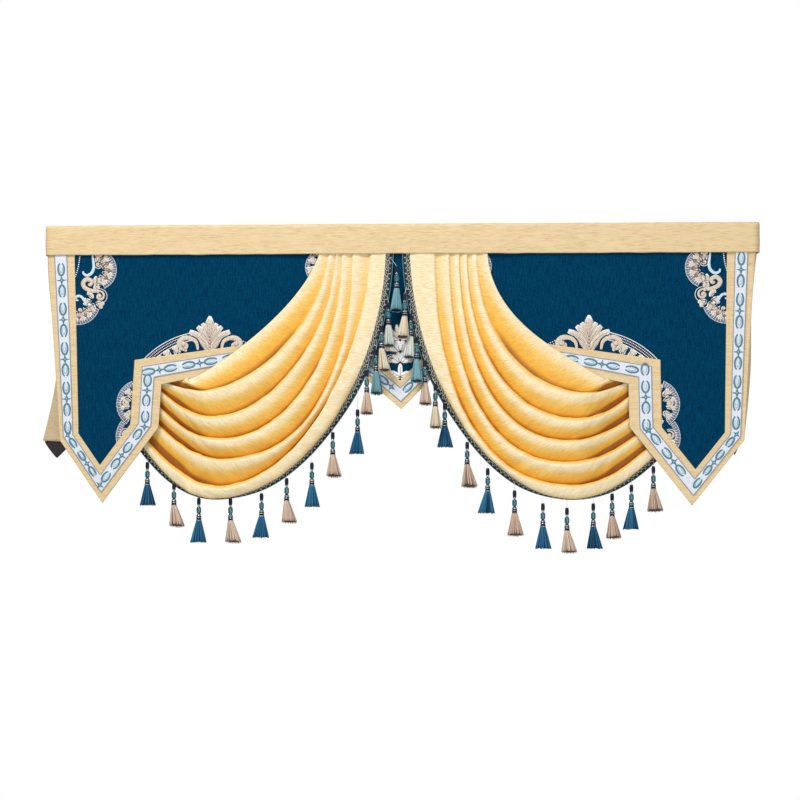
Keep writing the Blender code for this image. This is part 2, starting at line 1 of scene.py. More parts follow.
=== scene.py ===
"""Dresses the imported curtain: sews the visible cloths, trims, embroidery and tassels over its plain solids.

Metres, +Z up, the front faces -Y. Flat cloths are drawn in a pattern plane of two numbers, along (the distance
along the heading from its middle) and height (z), and wrap bends that plane round the heading's corners.
"""

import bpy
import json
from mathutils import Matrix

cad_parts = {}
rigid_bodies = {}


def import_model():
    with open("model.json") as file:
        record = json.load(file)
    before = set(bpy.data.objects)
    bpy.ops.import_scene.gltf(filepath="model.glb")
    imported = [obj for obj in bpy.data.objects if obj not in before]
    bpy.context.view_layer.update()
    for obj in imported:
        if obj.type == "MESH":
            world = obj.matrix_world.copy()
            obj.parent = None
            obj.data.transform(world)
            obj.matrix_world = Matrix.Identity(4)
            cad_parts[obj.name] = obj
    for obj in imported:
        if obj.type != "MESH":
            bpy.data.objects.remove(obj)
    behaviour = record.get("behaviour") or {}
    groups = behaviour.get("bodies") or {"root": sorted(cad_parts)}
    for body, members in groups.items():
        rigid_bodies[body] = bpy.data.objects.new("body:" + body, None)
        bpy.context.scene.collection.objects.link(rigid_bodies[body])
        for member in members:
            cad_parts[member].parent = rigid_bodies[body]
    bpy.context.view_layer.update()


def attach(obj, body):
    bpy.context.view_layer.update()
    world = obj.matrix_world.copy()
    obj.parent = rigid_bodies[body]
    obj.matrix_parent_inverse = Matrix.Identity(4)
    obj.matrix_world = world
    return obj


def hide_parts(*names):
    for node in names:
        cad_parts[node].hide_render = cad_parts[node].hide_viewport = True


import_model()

import json
import math

import bpy
import numpy as np

bl_info = {
    "name": "Embroidered curtain",
    "version": (1, 0, 0),
    "blender": (4, 5, 0),
    "location": "3D View > Sidebar > Curtain",
    "description": "Dresses a swagged pelmet with its cloths, trims, embroidery and tassels",
    "category": "Object",
}

# The heading and the layers in front of its flat back, as in the part
FRONT_HALF, CORNER_RADIUS, RETURN_DEPTH = 0.737, 0.007, 0.093
QUARTER = CORNER_RADIUS * math.pi / 2
HEADING_DROP, HEADING_DEPTH, PLEAT_ROOM, HEADING_CLOTH, HEADING_FOLD = 0.063, 0.0092, 0.0033, 0.0015, 0.0035
PLEATED_HALF, PLEATED_RAMP = 0.205, 0.070
TUCK_TOP, PANEL_SHOWS = -0.052, -0.058
PANEL_LAYER, PANEL_CLOTH = 0.0028, 0.0016
BORDER_LAYER, BORDER_CLOTH = 0.0045, 0.0010
BRAID_LAYER, BRAID_CLOTH = 0.0060, 0.0010
SWAG_LAYER, SWAG_CLOTH = 0.0092, 0.0018
TAIL_LEAN, TAIL_LEAN_TOP, TAIL_LEAN_DROP = 0.0030, -0.33, 0.26
RIPPLE, RIPPLE_LENGTH, RIPPLE_FROM, RIPPLE_RAMP = 0.0008, 0.31, 0.45, 0.13

# Corners of the cut cloths, as (along, height), from the outer top round to the inner end
END_CORNERS = {
    "left": ((-0.7463, TUCK_TOP), (-0.7195, -0.456), (-0.628, -0.588), (-0.508, -0.428), (-0.502, -0.337),
             (-0.105, -0.256)),
    "right": ((0.7422, TUCK_TOP), (0.7195, -0.453), (0.612, -0.589), (0.483, -0.426), (0.481, -0.336),
              (0.105, -0.254)),
}
CENTRE_CORNERS = ((-0.098, -0.300), (0.0067, -0.389), (0.098, -0.297))
BORDER_END = 0.285
# Flat sizes that the panels and the centre tail are cut from, and the share by which the columns fan at a tip
PANEL_CUT, PANEL_AREA, TAIL_CUT, TAIL_AREA, TIP_FAN = (0.65, 0.537), 0.204, (0.196, 0.337), 0.0573, 1.02
# Distances in from the edge of the braid's two sides and the border's end, at each stretch's start and end
END_BANDS = (
    ((0.0140, 0.0420, 0.0580), (0.0075, 0.0290, 0.0400)),
    ((0.0105, 0.0305, 0.0410), (0.0105, 0.0305, 0.0410)),
    ((0.0140, 0.0390, 0.0520), (0.0140, 0.0390, 0.0520)),
    ((0.0155, 0.0435, 0.0605), (0.0155, 0.0435, 0.0605)),
    ((0.0170, 0.0440, 0.0590), (0.0130, 0.0330, 0.0440)),
)
RIGHT_UPRIGHT_BAND = ((0.0205, 0.0490, 0.0670),) * 2
CENTRE_BANDS = (((0.0110, 0.0330, 0.0440), (0.0110, 0.0330, 0.0440)),) * 2
# Place of the first cross on each stretch of braid, and the chain's repeat there
CHAIN_RHYTHM = {
    "left": ((0.064, 0.084), (-0.001, 0.073), (-0.003, 0.0778), (-0.004, 0.077), (0.0245, 0.087)),
    "right": ((0.0475, 0.0853), (-0.002, 0.0746), (0.0673, 0.0823), (0.0632, 0.080), (0.091, 0.087)),
    "centre": ((0.030, 0.080), (0.044, 0.080)),
}
# Parts of a repeat: how far a ring stands from its cross, half its length, its filling and half a cross's length;
# and parts of the braid's width: half a ring and half a cross
RING_FROM_CROSS, RING_LENGTH, FILLING_LENGTH, CROSS_LENGTH = 0.280, 0.155, 0.10, 0.115
RING_WIDTH, CROSS_WIDTH = 0.265, 0.40
# Half widths along a ring, across a filling and along an arm of a cross
RING_STROKE = 0.34 + 0.18 * np.sin(np.linspace(0.15, 3.0, 27))
FILLING_STROKE, CROSS_STROKE = 0.0034 * np.array((0.3, 1, 1, 0.3)), np.array((0.12, 0.8, 0.8, 0.12))
# How near the start of each stretch a ring and a cross may stand, and how near its end a ring
CHAIN_STARTS = ((0.012, -0.006, 0.010),) * 3 + ((0.004, -0.006, -0.006), (-0.004, 0.008, 0.010))

# Fold lines of each swag: place at the heading, lowest point (out, z), place where it goes behind the tail
# (out, z), roundness of the fall at its top and foot, and how far it stands forward at its lowest point
SWAG_FOLDS = {
    "left": np.array((
        (0.164, 0.446, -0.3295, 0.464, -0.3264, 1.40, 1.22, 0.0095),
        (0.143, 0.401, -0.3530, 0.494, -0.3350, 1.74, 1.74, 0.0240),
        (0.130, 0.390, -0.4130, 0.496, -0.3640, 1.85, 1.85, 0.0300),
        (0.117, 0.379, -0.4570, 0.496, -0.4020, 2.12, 2.12, 0.0340),
        (0.094, 0.369, -0.4990, 0.502, -0.4370, 2.29, 2.29, 0.0360),
        (0.055, 0.371, -0.5590, 0.528, -0.4730, 1.75, 1.75, 0.0360),
        (0.0256, 0.385, -0.5765, 0.536, -0.4800, 1.87, 1.87, 0.0340),
    )),
    "right": np.array((
        (0.187, 0.434, -0.3290, 0.450, -0.3262, 1.85, 1.15, 0.0095),
        (0.162, 0.381, -0.3590, 0.474, -0.3360, 2.10, 2.10, 0.0240),
        (0.143, 0.375, -0.4160, 0.476, -0.3740, 2.19, 2.19, 0.0300),
        (0.127, 0.358, -0.4590, 0.477, -0.4190, 2.28, 2.28, 0.0340),
        (0.106, 0.357, -0.5060, 0.490, -0.4560, 2.34, 2.34, 0.0360),
        (0.075, 0.363, -0.5520, 0.508, -0.4890, 2.30, 2.30, 0.0360),
        (0.025, 0.361, -0.5745, 0.518, -0.5030, 1.86, 1.86, 0.0340),
    )),
}
FOLD_TOP, TUCKED_FORWARD, TUCKED_REACH = -0.052, -0.0038, 0.028
# One fold from ridge to ridge: share of the way at the heading and in the belly, and how far it stands out, which also
# sets its painted light and shade
FOLD_PROFILE = ((0.00, 0.00, 1.00), (0.20, 0.22, 0.88), (0.40, 0.45, 0.60), (0.60, 0.68, 0.26),
                (0.82, 0.90, 0.00), (0.92, 0.86, 0.55), (1.00, 1.00, 1.00))
# The bottom roll: share of the way flat and curled, and how far it curls back
ROLL_PROFILE = ((0.0, 0.0, 0.0), (0.25, 0.42, 0.0005), (0.50, 0.82, 0.0035), (0.75, 1.00, 0.0090),
                (1.00, 0.93, 0.0150))
PLEAT_DEPTH, BELLY_DEPTH, TUCKED_DEPTH = 0.0040, 0.0160, 0.0110
FIRST_FOLD_DEPTH, FIRST_FOLD_CROWN = 0.62, 0.0050
CURL_STARTS, CURL_ENDS = 0.30, 0.62
# Near the tail the swag's top edge is carried up behind the panel
TOP_RAISED, TOP_BEHIND = 0.012, 0.0004
# How much of a fold's painted shade is left where the pleats are packed in
PLEAT_TONE = 0.17
# Puckers of the satin: part of the pucker depth, length along the folds, width across them and shift of the seed
PUCKERS = ((1.0, 0.020, 0.050, 0), (0.4, 0.0085, 0.026, 7), (1.4, 0.075, 0.030, 9))
GIMP_WIDTH, GIMP_CLOTH, GIMP_LAP, GIMP_BEHIND = 0.0176, 0.0011, 0.0015, 0.0022
GIMP_TURN, GIMP_TURN_LOST = math.radians(68), 0.6
# The gimp's plaited cords: thread, place across the band, phase and half width; and its edge cords without a phase
GIMP_PLAIT = (("gimp_light", 0.0052, 0.0, 0.0011), ("gimp_light", 0.0106, math.pi, 0.0011),
              ("gimp_light", 0.0078, 1.9, 0.0007), ("gimp_dark", 0.0084, 4.2, 0.0009))
GIMP_EDGE_CORDS = (("gimp_edge", 0.0012, 0.0011), ("gimp_dark", 0.0151, 0.0010), ("gimp_edge", 0.0170, 0.0012))

# Tassels on the lower edges: x, top of the loop, yarn, skirt height, skirt radius, sway
OUTER_TASSELS = (
    (-0.537, -0.503, "blue", 0.045, 0.0125, 0.001), (-0.478, -0.545, "pink", 0.044, 0.0120, 0.007),
    (-0.422, -0.577, "blue", 0.047, 0.0125, -0.001), (-0.354, -0.577, "pink", 0.045, 0.0125, 0.006),
    (-0.288, -0.567, "blue", 0.046, 0.0130, -0.002), (-0.235, -0.535, "pink", 0.045, 0.0120, 0.006),
    (-0.182, -0.502, "blue", 0.046, 0.0120, 0.001), (-0.138, -0.438, "pink", 0.045, 0.0120, 0.003),
    (-0.085, -0.390, "blue", 0.046, 0.0120, -0.002), (0.098, -0.376, "blue", 0.046, 0.0125, 0.001),
    (0.145, -0.458, "pink", 0.046, 0.0125, 0.005), (0.188, -0.513, "blue", 0.047, 0.0130, -0.003),
    (0.244, -0.559, "pink", 0.046, 0.0125, 0.002), (0.303, -0.586, "blue", 0.047, 0.0125, 0.001),
    (0.353, -0.595, "pink", 0.045, 0.0120, 0.005), (0.408, -0.586, "blue", 0.047, 0.0120, 0.003),
    (0.448, -0.566, "pink", 0.045, 0.0120, 0.003), (0.489, -0.548, "blue", 0.046, 0.0125, -0.001),
    (0.535, -0.509, "pink", 0.046, 0.0125, 0.004),
)
# Tassels between the swags: height of the cord's root, x, top of the loop, yarn, skirt height, sway, forward
INNER_TASSELS = (
    (-0.072, -0.002, -0.090, "teal", 0.046, -0.001, 0.022), (-0.128, 0.0150, -0.148, "cream", 0.044, -0.004, 0.030),
    (-0.150, -0.0190, -0.166, "mint", 0.044, 0.001, 0.021), (-0.172, 0.0270, -0.190, "mint", 0.044, -0.003, 0.022),
    (-0.196, -0.0330, -0.215, "cream", 0.046, 0.006, 0.031), (-0.218, 0.0400, -0.238, "teal", 0.046, 0.001, 0.031),
    (-0.244, -0.0450, -0.263, "teal", 0.046, 0.001, 0.022), (-0.268, 0.0570, -0.287, "pink", 0.044, 0.001, 0.023),
    (-0.288, -0.0640, -0.307, "pink", 0.044, 0.000, 0.032), (-0.318, 0.0790, -0.336, "cream", 0.044, 0.001, 0.030),
)
INNER_SKIRT_RADIUS, SKIRT_FULLNESS, NECK_DROP, NECK_RADIUS = 0.0125, 1.32, 0.0470, 0.0050
BLUE_TILT, SKIRT_TILT = 0.08, 0.30
# Beads: drop of the middle, half length, radius, and the two powers that round the ends
CLEAR_BEAD, LONG_BEAD = (0.0160, 0.0027, 0.0032, 2, 0.5), (0.0262, 0.0080, 0.0051, 4, 0.40)
HEAD_TOP, HEAD_FOOT = 0.0340, 0.0500
# Wires round the head: drop and radius
WIRES = ((0.0362, 0.0044), (0.0378, 0.0048), (0.0415, 0.0054), (0.0470, 0.0056))
# A tassel's cord is sewn this far across the trim. The first points of the trim are its upright stretch
CORD_ACROSS, UPRIGHT_POINTS = 0.012, 92

# Flaps behind the corners: front edge (x, y) at heading and hem, back edge at heading and hem, hem height
RETURN_FLAPS = {
    "left": ((0.7506, 0.020), (0.712, 0.014), (0.7506, 0.095), (0.783, 0.090), -0.460),
    "right": ((0.7506, 0.020), (0.700, 0.014), (0.7506, 0.095), (0.735, 0.088), -0.450),
}
FLAP_KICK, LINING_TOP, LINING_POINT, LINING_POINT_ACROSS = -0.260, -0.360, 0.036, 0.40
FLAP_CLOTH, LINING_CLOTH, LINING_GAP = 0.0015, 0.0012, 0.0008
FLAP_FINISHES = {"return": ("crinkled_gold_border", FLAP_CLOTH, "pale_gold"),
                 "return_lining": ("dark_poplin", LINING_CLOTH, "dark_lining")}

# The camera stands where the photograph was taken from
CAMERA_AWAY, CAMERA_SIDE, CAMERA_HEIGHT, FOCAL_PIXELS, FRAME_PIXELS = 3.2, math.radians(3), -0.349, 1521.0, 800.0
CAMERA_MIDDLE = (398.2, 390.0)
# Lights: name, place, size and power. Both aim at the curtain's middle
LIGHTS = (("key_light", (-1.1, -2.1, 2.2), 1.3, 85.0), ("fill_light", (0.9, -2.7, -0.6), 2.0, 27.0))
LIGHTS_AIM, FLOOR_HEIGHT = (0.0, 0.0, -0.35), -1.75


def linear(shade):
    """An sRGB hex colour as linear red, green and blue."""
    value = np.array([int(shade[i:i + 2], 16) for i in (0, 2, 4)]) / 255
    return tuple(np.where(value <= 0.04045, value / 12.92, ((value + 0.055) / 1.055) ** 2.4).tolist())


def dye(name, description, shade):
    return bpy.props.FloatVectorProperty(
        name=name, description=description, subtype="COLOR", size=3, min=0.0, max=1.0, default=linear(shade)
    )


def length(name, description, metres):
    return bpy.props.FloatProperty(name=name, description=description, unit="LENGTH", default=metres, min=0.0)


class CurtainSizes(bpy.types.PropertyGroup):
    crinkle_width: length("Crinkle width", "Width of one pressed crinkle of the gold satin", 0.0026)
    crinkle_depth: length("Crinkle depth", "Depth of the pressed crinkles of the gold satin", 0.0006)
    pucker_depth: length("Pucker depth", "Depth of the soft puckers across each fold", 0.0011)
    pile_width: length("Pile width", "Width of one row of chenille pile", 0.0022)
    chain_stroke: length("Chain stroke", "Width of the chain's stitching", 0.0042)
    stitch_height: length("Stitch height", "Height of the embroidery above the cloth", 0.0012)
    gimp_loop: length("Gimp loop", "Length of one loop of the gimp's plait", 0.0108)
    strands: bpy.props.IntProperty(
        name="Strands", description="Yarns in the outer row of a tassel", default=46, min=12)


class CurtainColours(bpy.types.PropertyGroup):
    # The satin's ridge, slope and pocket colours are painted light and shade: each point's tone picks lit satin on the
    # ridges and shaded satin on the slopes and in the pockets.
    satin_ridge_lit: dye("Satin lit ridge", "Gold satin on the ridges of the swags", "F3E5C2")
    satin_middle: dye("Satin face", "Gold satin between ridge and slope", "EFC86C")
    satin_slope_shade: dye("Satin slope shade", "Gold satin on the slopes of the swags", "F1B02E")
    satin_pocket_shade: dye("Satin pocket shade", "Gold satin deep between two folds", "A8662A")
    border_gold: dye("Border gold", "Crinkled cloth of the heading and borders", "E0C89A")
    border_dark: dye("Border shade", "Between the crinkles of the heading and borders", "C8A672")
    teal: dye("Teal pile", "Chenille of the embroidered panels", "003F60")
    teal_dark: dye("Teal ground", "Chenille between its rows of pile", "002840")
    braid_ground: dye("Braid ground", "Woven ground of the braid", "DCE3EC")
    braid_blue: dye("Braid blue", "Chain stitched on the braid", "568391")
    braid_pale: dye("Braid pale", "Pale filling of the braid's rings", "C6DFEE")
    braid_edge: dye("Braid edge", "Edge cords of the braid", "8E93A6")
    cream_thread: dye("Cream thread", "Satin stitch of the scrolls", "D6C8B4")
    white_thread: dye("White thread", "Edges and dots of the embroidery", "FBFAF6")
    taupe_thread: dye("Taupe thread", "Shading of the lobes", "8F7868")
    navy_thread: dye("Navy thread", "Outline of the scrolls", "0B1C3C")
    lilac_thread: dye("Lilac thread", "Picot edge of the medallions", "A9A9C2")
    blush_thread: dye("Blush thread", "Knots along the middle of the crowns", "D2B49A")
    gimp_ground: dye("Gimp ground", "Ground of the swags' trim", "1E2C34")
    gimp_light: dye("Gimp light", "Light cord of the gimp's plait", "B4B4A6")
    gimp_dark: dye("Gimp dark", "Dark cord of the gimp's plait", "16222C")
    gimp_edge: dye("Gimp edge", "Teal cord along the gimp", "4E8088")
    blue_yarn: dye("Blue yarn", "Blue tassels", "1C5F88")
    pink_yarn: dye("Blush yarn", "Blush tassels", "E0C0A6")
    teal_yarn: dye("Teal yarn", "Teal tassels between the swags", "6CA3AE")
    mint_yarn: dye("Mint yarn", "Mint tassels between the swags", "EAF3E6")
    cream_yarn: dye("Cream yarn", "Cream tassels between the swags", "EDDCBC")
    bead: dye("Bead", "Glazed teal beads", "0E6E78")
    loop_cord: dye("Loop", "Loops and heads of the tassels", "101C2A")
    fine_thread: dye("Thread", "Fine thread that each tassel hangs by", "E4E6E8")
    lining: dye("Lining", "Lining that shows below the returns", "33262A")
    floor: dye("Floor", "Studio floor", "F4F4F2")


def sizes():
    return bpy.context.scene.curtain_sizes


def colour(name):
    return (*getattr(bpy.context.scene.curtain_colours, name), 1.0)


# ---- Materials

BLACK, WHITE = (0.0, 0.0, 0.0, 1.0), (1.0, 1.0, 1.0, 1.0)


def add(tree, kind, settings=None, values=None, links=None):
    """Adds one node with its settings, the values of its sockets and the links into them."""
    node = tree.nodes.new(kind)
    for key, value in (settings or {}).items():
        setattr(node, key, value)
    for key, value in (values or {}).items():
        node.inputs[key].default_value = value
    for key, source in (links or {}).items():
        tree.links.new(source, node.inputs[key])
    return node


def blank(name, roughness, **shader_values):
    """A new material, and its shader with these values set."""
    made = bpy.data.materials.new(name)
    made.use_nodes = True
    shader = made.node_tree.nodes["Principled BSDF"]
    for key, value in dict(shader_values, Roughness=roughness).items():
        shader.inputs[key.replace("_", " ")].default_value = value
    return made, made.node_tree


def dyed(made, base, height=None, depth=0.0):
    """Gives a material its base colour, and a height to stand up by this depth in metres."""
    tree = made.node_tree
    shader = tree.nodes["Principled BSDF"]
    tree.links.new(base, shader.inputs["Base Color"])
    if height:
        bump = add(tree, "ShaderNodeBump", None, {"Distance": depth}, {"Height": height})
        tree.links.new(bump.outputs[0], shader.inputs["Normal"])
    return made


def shaded(shade, share):
    """A colour at this share of its light."""
    return (*(part * share for part in shade[:3]), 1.0)


def streaks(tree, width, length, detail=2.0, distortion=0.0):
    """Uneven streaks on the cloth's own pattern: width across one, and length along it, in metres of cloth."""
    place = add(tree, "ShaderNodeUVMap", {"uv_map": "cloth"}).outputs[0]
    scaled = add(tree, "ShaderNodeMapping", None, {"Scale": (1 / width, 1 / length, 1.0)}, {"Vector": place})
    settings = {"Scale": 1.0, "Detail": detail, "Roughness": 0.6, "Distortion": distortion}
    return add(tree, "ShaderNodeTexNoise", None, settings, {"Vector": scaled.outputs[0]}).outputs["Fac"]


def ramp(tree, factor, *stops):
    """Colours by position along a factor."""
    node = add(tree, "ShaderNodeValToRGB", None, None, {"Fac": factor})
    node.color_ramp.elements[0].position, node.color_ramp.elements[0].color = stops[0]
    node.color_ramp.elements[1].position, node.color_ramp.elements[1].color = stops[-1]
    for position, shade in stops[1:-1]:
        node.color_ramp.elements.new(position).color = shade
    return node.outputs["Color"]


def mixed(tree, factor, first, second, blend="MIX"):
    """Two colours mixed: a socket where one is linked, or a plain colour."""
    values, links = {}, {}
    for key, value in ((0, factor), (6, first), (7, second)):
        (links if isinstance(value, bpy.types.NodeSocket) else values)[key] = value
    return add(tree, "ShaderNodeMix", {"data_type": "RGBA", "blend_type": blend}, values, links).outputs[2]


def mottle(tree, scale):
    """A cloudy pattern in the piece's own space, with this many clouds to a metre."""
    place = add(tree, "ShaderNodeTexCoord").outputs["Object"]
    return add(tree, "ShaderNodeTexNoise", None, {"Scale": scale}, {"Vector": place}).outputs["Fac"]


def tone(tree):
    """The piece's tone from 0 to 1, which numpy wrote at each point: painted light and shade on the swags and the
    tassels' skirts, and a random shift from strand to strand.
    """
    return add(tree, "ShaderNodeAttribute", {"attribute_name": "tone"}).outputs["Fac"]


def crinkled_gold_satin(name):
    """Polyester satin with a pressed crinkle. Its colour is painted light and shade picked by the tone at each point:
    light on the lit ridges, a warmer gold painted as shade on the slopes that face other folds, brown painted shade in
    the pockets; and thin bright streaks across each fold."""
    made, tree = blank(name, 0.45, Specular_IOR_Level=0.35)
    fine = streaks(tree, sizes().crinkle_width * 0.7, 0.016, 3.0, 0.5)
    # Painted light and shade: the tone picks the lit ridge colour, the shaded slope colour and the darkest pocket
    # shade.
    painted_shade_by_tone = ramp(tree, tone(tree), (0.0, colour("satin_pocket_shade")), (0.20, colour("satin_slope_shade")),
                    (0.70, colour("satin_middle")), (0.97, colour("satin_ridge_lit")))
    warmer = ramp(tree, fine, (0.40, (0.86, 0.68, 0.40, 1)), (0.57, WHITE))
    streaked = mixed(tree, 1.0, painted_shade_by_tone, warmer, "MULTIPLY")
    return dyed(made, mixed(tree, 0.70, painted_shade_by_tone, streaked), fine, sizes().crinkle_depth)


def crinkled_gold_border(name):
    """The same crinkled cloth in a paler gold, whose fine crinkles run level, so it reads as a dry matt grain."""
    made, tree = blank(name, 0.62, Sheen_Weight=0.15, Sheen_Roughness=0.5)
    fine = streaks(tree, 0.022, sizes().crinkle_width, 5.0, 0.4)
    grain = ramp(tree, fine, (0.28, colour("border_dark")), (0.60, colour("border_gold")))
    worn = ramp(tree, streaks(tree, 0.080, 0.012, 2.0, 0.2), (0.45, BLACK), (0.75, WHITE))
    return dyed(made, mixed(tree, worn, grain, colour("border_gold")), fine, sizes().crinkle_depth * 0.8)


def teal_pile(name):
    """Chenille: upright rows of short cut pile, dark between the rows, with no shine."""
    made, tree = blank(name, 1.0, Specular_IOR_Level=0.05)
    rows, tufts = streaks(tree, sizes().pile_width, 0.022, 3.0, 0.3), streaks(tree, 0.0016, 0.0040)
    both = add(tree, "ShaderNodeMath", {"operation": "ADD"}, None, {0: rows, 1: tufts}).outputs[0]
    half = add(tree, "ShaderNodeMath", {"operation": "MULTIPLY"}, {1: 0.5}, {0: both}).outputs[0]
    return dyed(made, ramp(tree, half, (0.38, colour("teal_dark")), (0.58, colour("teal"))), half, 0.0009)


def woven_ribbon(name):
    """The braid's ground: a close plain weave of pale thread, with a faint rib across the ribbon."""
    made, tree = blank(name, 0.6, Sheen_Weight=0.1)
    rib, base = streaks(tree, 0.0012, 0.008), colour("braid_ground")
    return dyed(made, ramp(tree, rib, (0.34, shaded(base, 0.82)), (0.55, base)), rib, 0.0003)


def stitched_thread(name):
    """Rayon embroidery thread: short satin stitches side by side, each with its own small shift in shade. Dark
    threads shine and lift less than pale ones."""
    base = colour(name)
    brightness = max(base[:3])
    made, tree = blank(name, 0.5, Specular_IOR_Level=0.25, Sheen_Weight=0.2 * brightness)
    stitch = streaks(tree, 0.0013, 0.010, 2.0, 0.2)
    high = (*(part + (1 - part) * 0.30 * brightness for part in base[:3]), 1.0)
    return dyed(made, ramp(tree, stitch, (0.34, shaded(base, 0.58)), (0.50, base), (0.68, high)), stitch, 0.0004)


def tassel_yarn(name):
    """Spun viscose yarn: a soft shine along each strand, with some strands lighter at random; its darkest tone is
    painted shade, on the inner strands towards their ends and on the skirt's core.
    """
    made, tree = blank(name, 0.6, Specular_IOR_Level=0.15)
    base = colour(name)
    # The low colour is painted shade, used at tone 0.
    low, high = shaded(base, 0.10), (*(part + (1 - part) * 0.45 * part**0.5 for part in base[:3]), 1.0)
    twist = streaks(tree, 0.0010, 0.0016)
    by_strand = ramp(tree, tone(tree), (0.0, low), (0.40, base), (1.0, high))
    return dyed(made, mixed(tree, 0.35, by_strand, mixed(tree, twist, low, by_strand)), twist, 0.0003)


def glazed_bead(name):
    """A moulded acrylic bead with a teal core and a hard glossy skin, a little mottled inside."""
    made, tree = blank(name, 0.12, Coat_Weight=0.8, Coat_Roughness=0.05)
    base = colour("bead")
    return dyed(made, ramp(tree, mottle(tree, 260.0), (0.35, shaded(base, 0.35)), (0.60, base)))


def clear_bead(name):
    """Clear moulded acrylic with a faint frost, so it stays bright against a white wall."""
    made, tree = blank(name, 0.08, Transmission_Weight=0.75, IOR=1.49)
    return dyed(made, ramp(tree, mottle(tree, 500.0), (0.3, (0.62, 0.72, 0.76, 1)), (0.7, (0.94, 0.97, 0.98, 1))))


def silver_wire(name):
    """Thin metallised wrapping thread round the tassel's head: it glints in short breaks."""
    made, tree = blank(name, 0.28, Metallic=1.0)
    return dyed(made, ramp(tree, mottle(tree, 700.0), (0.4, (0.40, 0.46, 0.50, 1)), (0.6, (0.86, 0.90, 0.92, 1))))


def dark_poplin(name):
    """Dark poplin lining: a plain weave that is almost black, with a dull brown cast."""
    made, tree = blank(name, 0.8)
    weave, base = streaks(tree, 0.0016, 0.0016), colour("lining")
    return dyed(made, ramp(tree, weave, (0.35, shaded(base, 0.5)), (0.65, base)), weave, 0.0003)


def studio_floor(name):
    """Matt painted board, faintly uneven."""
    made, tree = blank(name, 0.9)
    base = colour("floor")
    return dyed(made, ramp(tree, mottle(tree, 3.0), (0.3, shaded(base, 0.93)), (0.7, base)))


FINISHES = {make.__name__: make for make in (
    crinkled_gold_satin, crinkled_gold_border, teal_pile, woven_ribbon, glazed_bead, clear_bead, silver_wire,
    dark_poplin, studio_floor,
)}


def finish(name):
    """The named finish, made once: a cloth or bead of its own, or else a yarn or thread in the colour it names."""
    kind = tassel_yarn if name.endswith("_yarn") else stitched_thread
    return bpy.data.materials.get(name) or FINISHES.get(name, kind)(name)


# ---- Shapes


def smooth(share):
    """Eases a share from 0 to 1, level at both ends."""
    share = np.clip(share, 0.0, 1.0)
    return share * share * (3 - 2 * share)


def unit(vectors):
    return vectors / np.maximum(np.linalg.norm(vectors, axis=-1, keepdims=True), 1e-12)


def towards(angle):
    """Ways of length one in a plane, at these angles in radians."""
    return np.stack([np.cos(angle), np.sin(angle)], axis=-1)


def travelled(points, axis=0):
    """The distance run from the first point along one axis of a grid of points."""
    steps = np.cumsum(np.linalg.norm(np.diff(points, axis=axis), axis=-1), axis=axis)
    return np.concatenate([0 * steps.take([0], axis), steps], axis=axis)


def wrap(along, forward, height):
    """Points this far in front of the heading's back plane: straight up to the corner, a quarter round of the
    corner's radius plus the layer, then straight back."""
    along, forward, height = np.broadcast_arrays(along, forward, height)
    side = np.where(along >= 0, 1.0, -1.0)
    past = np.abs(along) - FRONT_HALF
    turn = np.clip(past / CORNER_RADIUS, 0, math.pi / 2)
    radius = CORNER_RADIUS + forward
    x = np.where(past <= 0, along, side * (FRONT_HALF + radius * np.sin(turn)))
    y = np.where(past <= 0, -forward, CORNER_RADIUS - radius * np.cos(turn) + np.maximum(past - QUARTER, 0))
    return np.stack([x, y, height], axis=-1)


def panel_wave(along, height):
    """The tails lean out a little and the outer part ripples in a slow sine."""
    tail = smooth((TAIL_LEAN_TOP - height) / TAIL_LEAN_DROP)
    outer = smooth((np.abs(along) - RIPPLE_FROM) / RIPPLE_RAMP) * smooth((-HEADING_DROP - height) / RIPPLE_RAMP)
    return TAIL_LEAN * tail + RIPPLE * outer * np.sin(2 * math.pi * along / RIPPLE_LENGTH)


def value_noise(a, b, seed):
    """Smooth noise from -1 to 1: random values on a whole-number grid, eased between its points."""
    table = np.random.default_rng(seed).uniform(-1, 1, (64, 64))
    i, j = np.floor(a).astype(int), np.floor(b).astype(int)
    p, q = smooth(a - i), smooth(b - j)
    near = table[i % 64, j % 64] * (1 - p) + table[(i + 1) % 64, j % 64] * p
    far = table[i % 64, (j + 1) % 64] * (1 - p) + table[(i + 1) % 64, (j + 1) % 64] * p
    return near * (1 - q) + far * q


def spline(keys, steps):
    """A smooth curve through evenly spaced keys: each span is a cubic whose slope at a key is half the way
    between its neighbours. Gives steps points a span, and the last key."""
    keys = np.asarray(keys, float)
    padded = np.concatenate([[2 * keys[0] - keys[1]], keys, [2 * keys[-1] - keys[-2]]])
    share = (np.arange(steps) / steps)[None, :, None]
    p0, p1, p2, p3 = (padded[i:len(padded) - 3 + i][:, None] for i in range(4))
    spans = p1 + share * ((p2 - p0) / 2 + share * (p0 - 2.5 * p1 + 2 * p2 - p3 / 2
                                                   + share * (1.5 * (p1 - p2) + (p3 - p0) / 2)))
    return np.concatenate([spans.reshape(-1, keys.shape[1]), keys[-1:]])


def lattice(rows, columns, round_columns=False):
    """Faces of a grid of rows by columns. Round columns close on themselves."""
    row = np.arange(rows - 1)[:, None]
    column = np.arange(columns if round_columns else columns - 1)[None]
    after, beside = (row + 1) % rows, (column + 1) % columns
    corners = (row * columns + column, after * columns + column, after * columns + beside, row * columns + beside)
    return np.stack(np.broadcast_arrays(*corners), axis=-1).reshape(-1, 4)


def sheet_block(points, pattern, shade=1.0):
    """A grid of points (rows, columns, 3) as a block, with its place on the cloth in metres."""
    tones = np.broadcast_to(shade, points.shape[:2])
    return points.reshape(-1, 3), lattice(*points.shape[:2]), pattern.reshape(-1, 2), tones.reshape(-1)


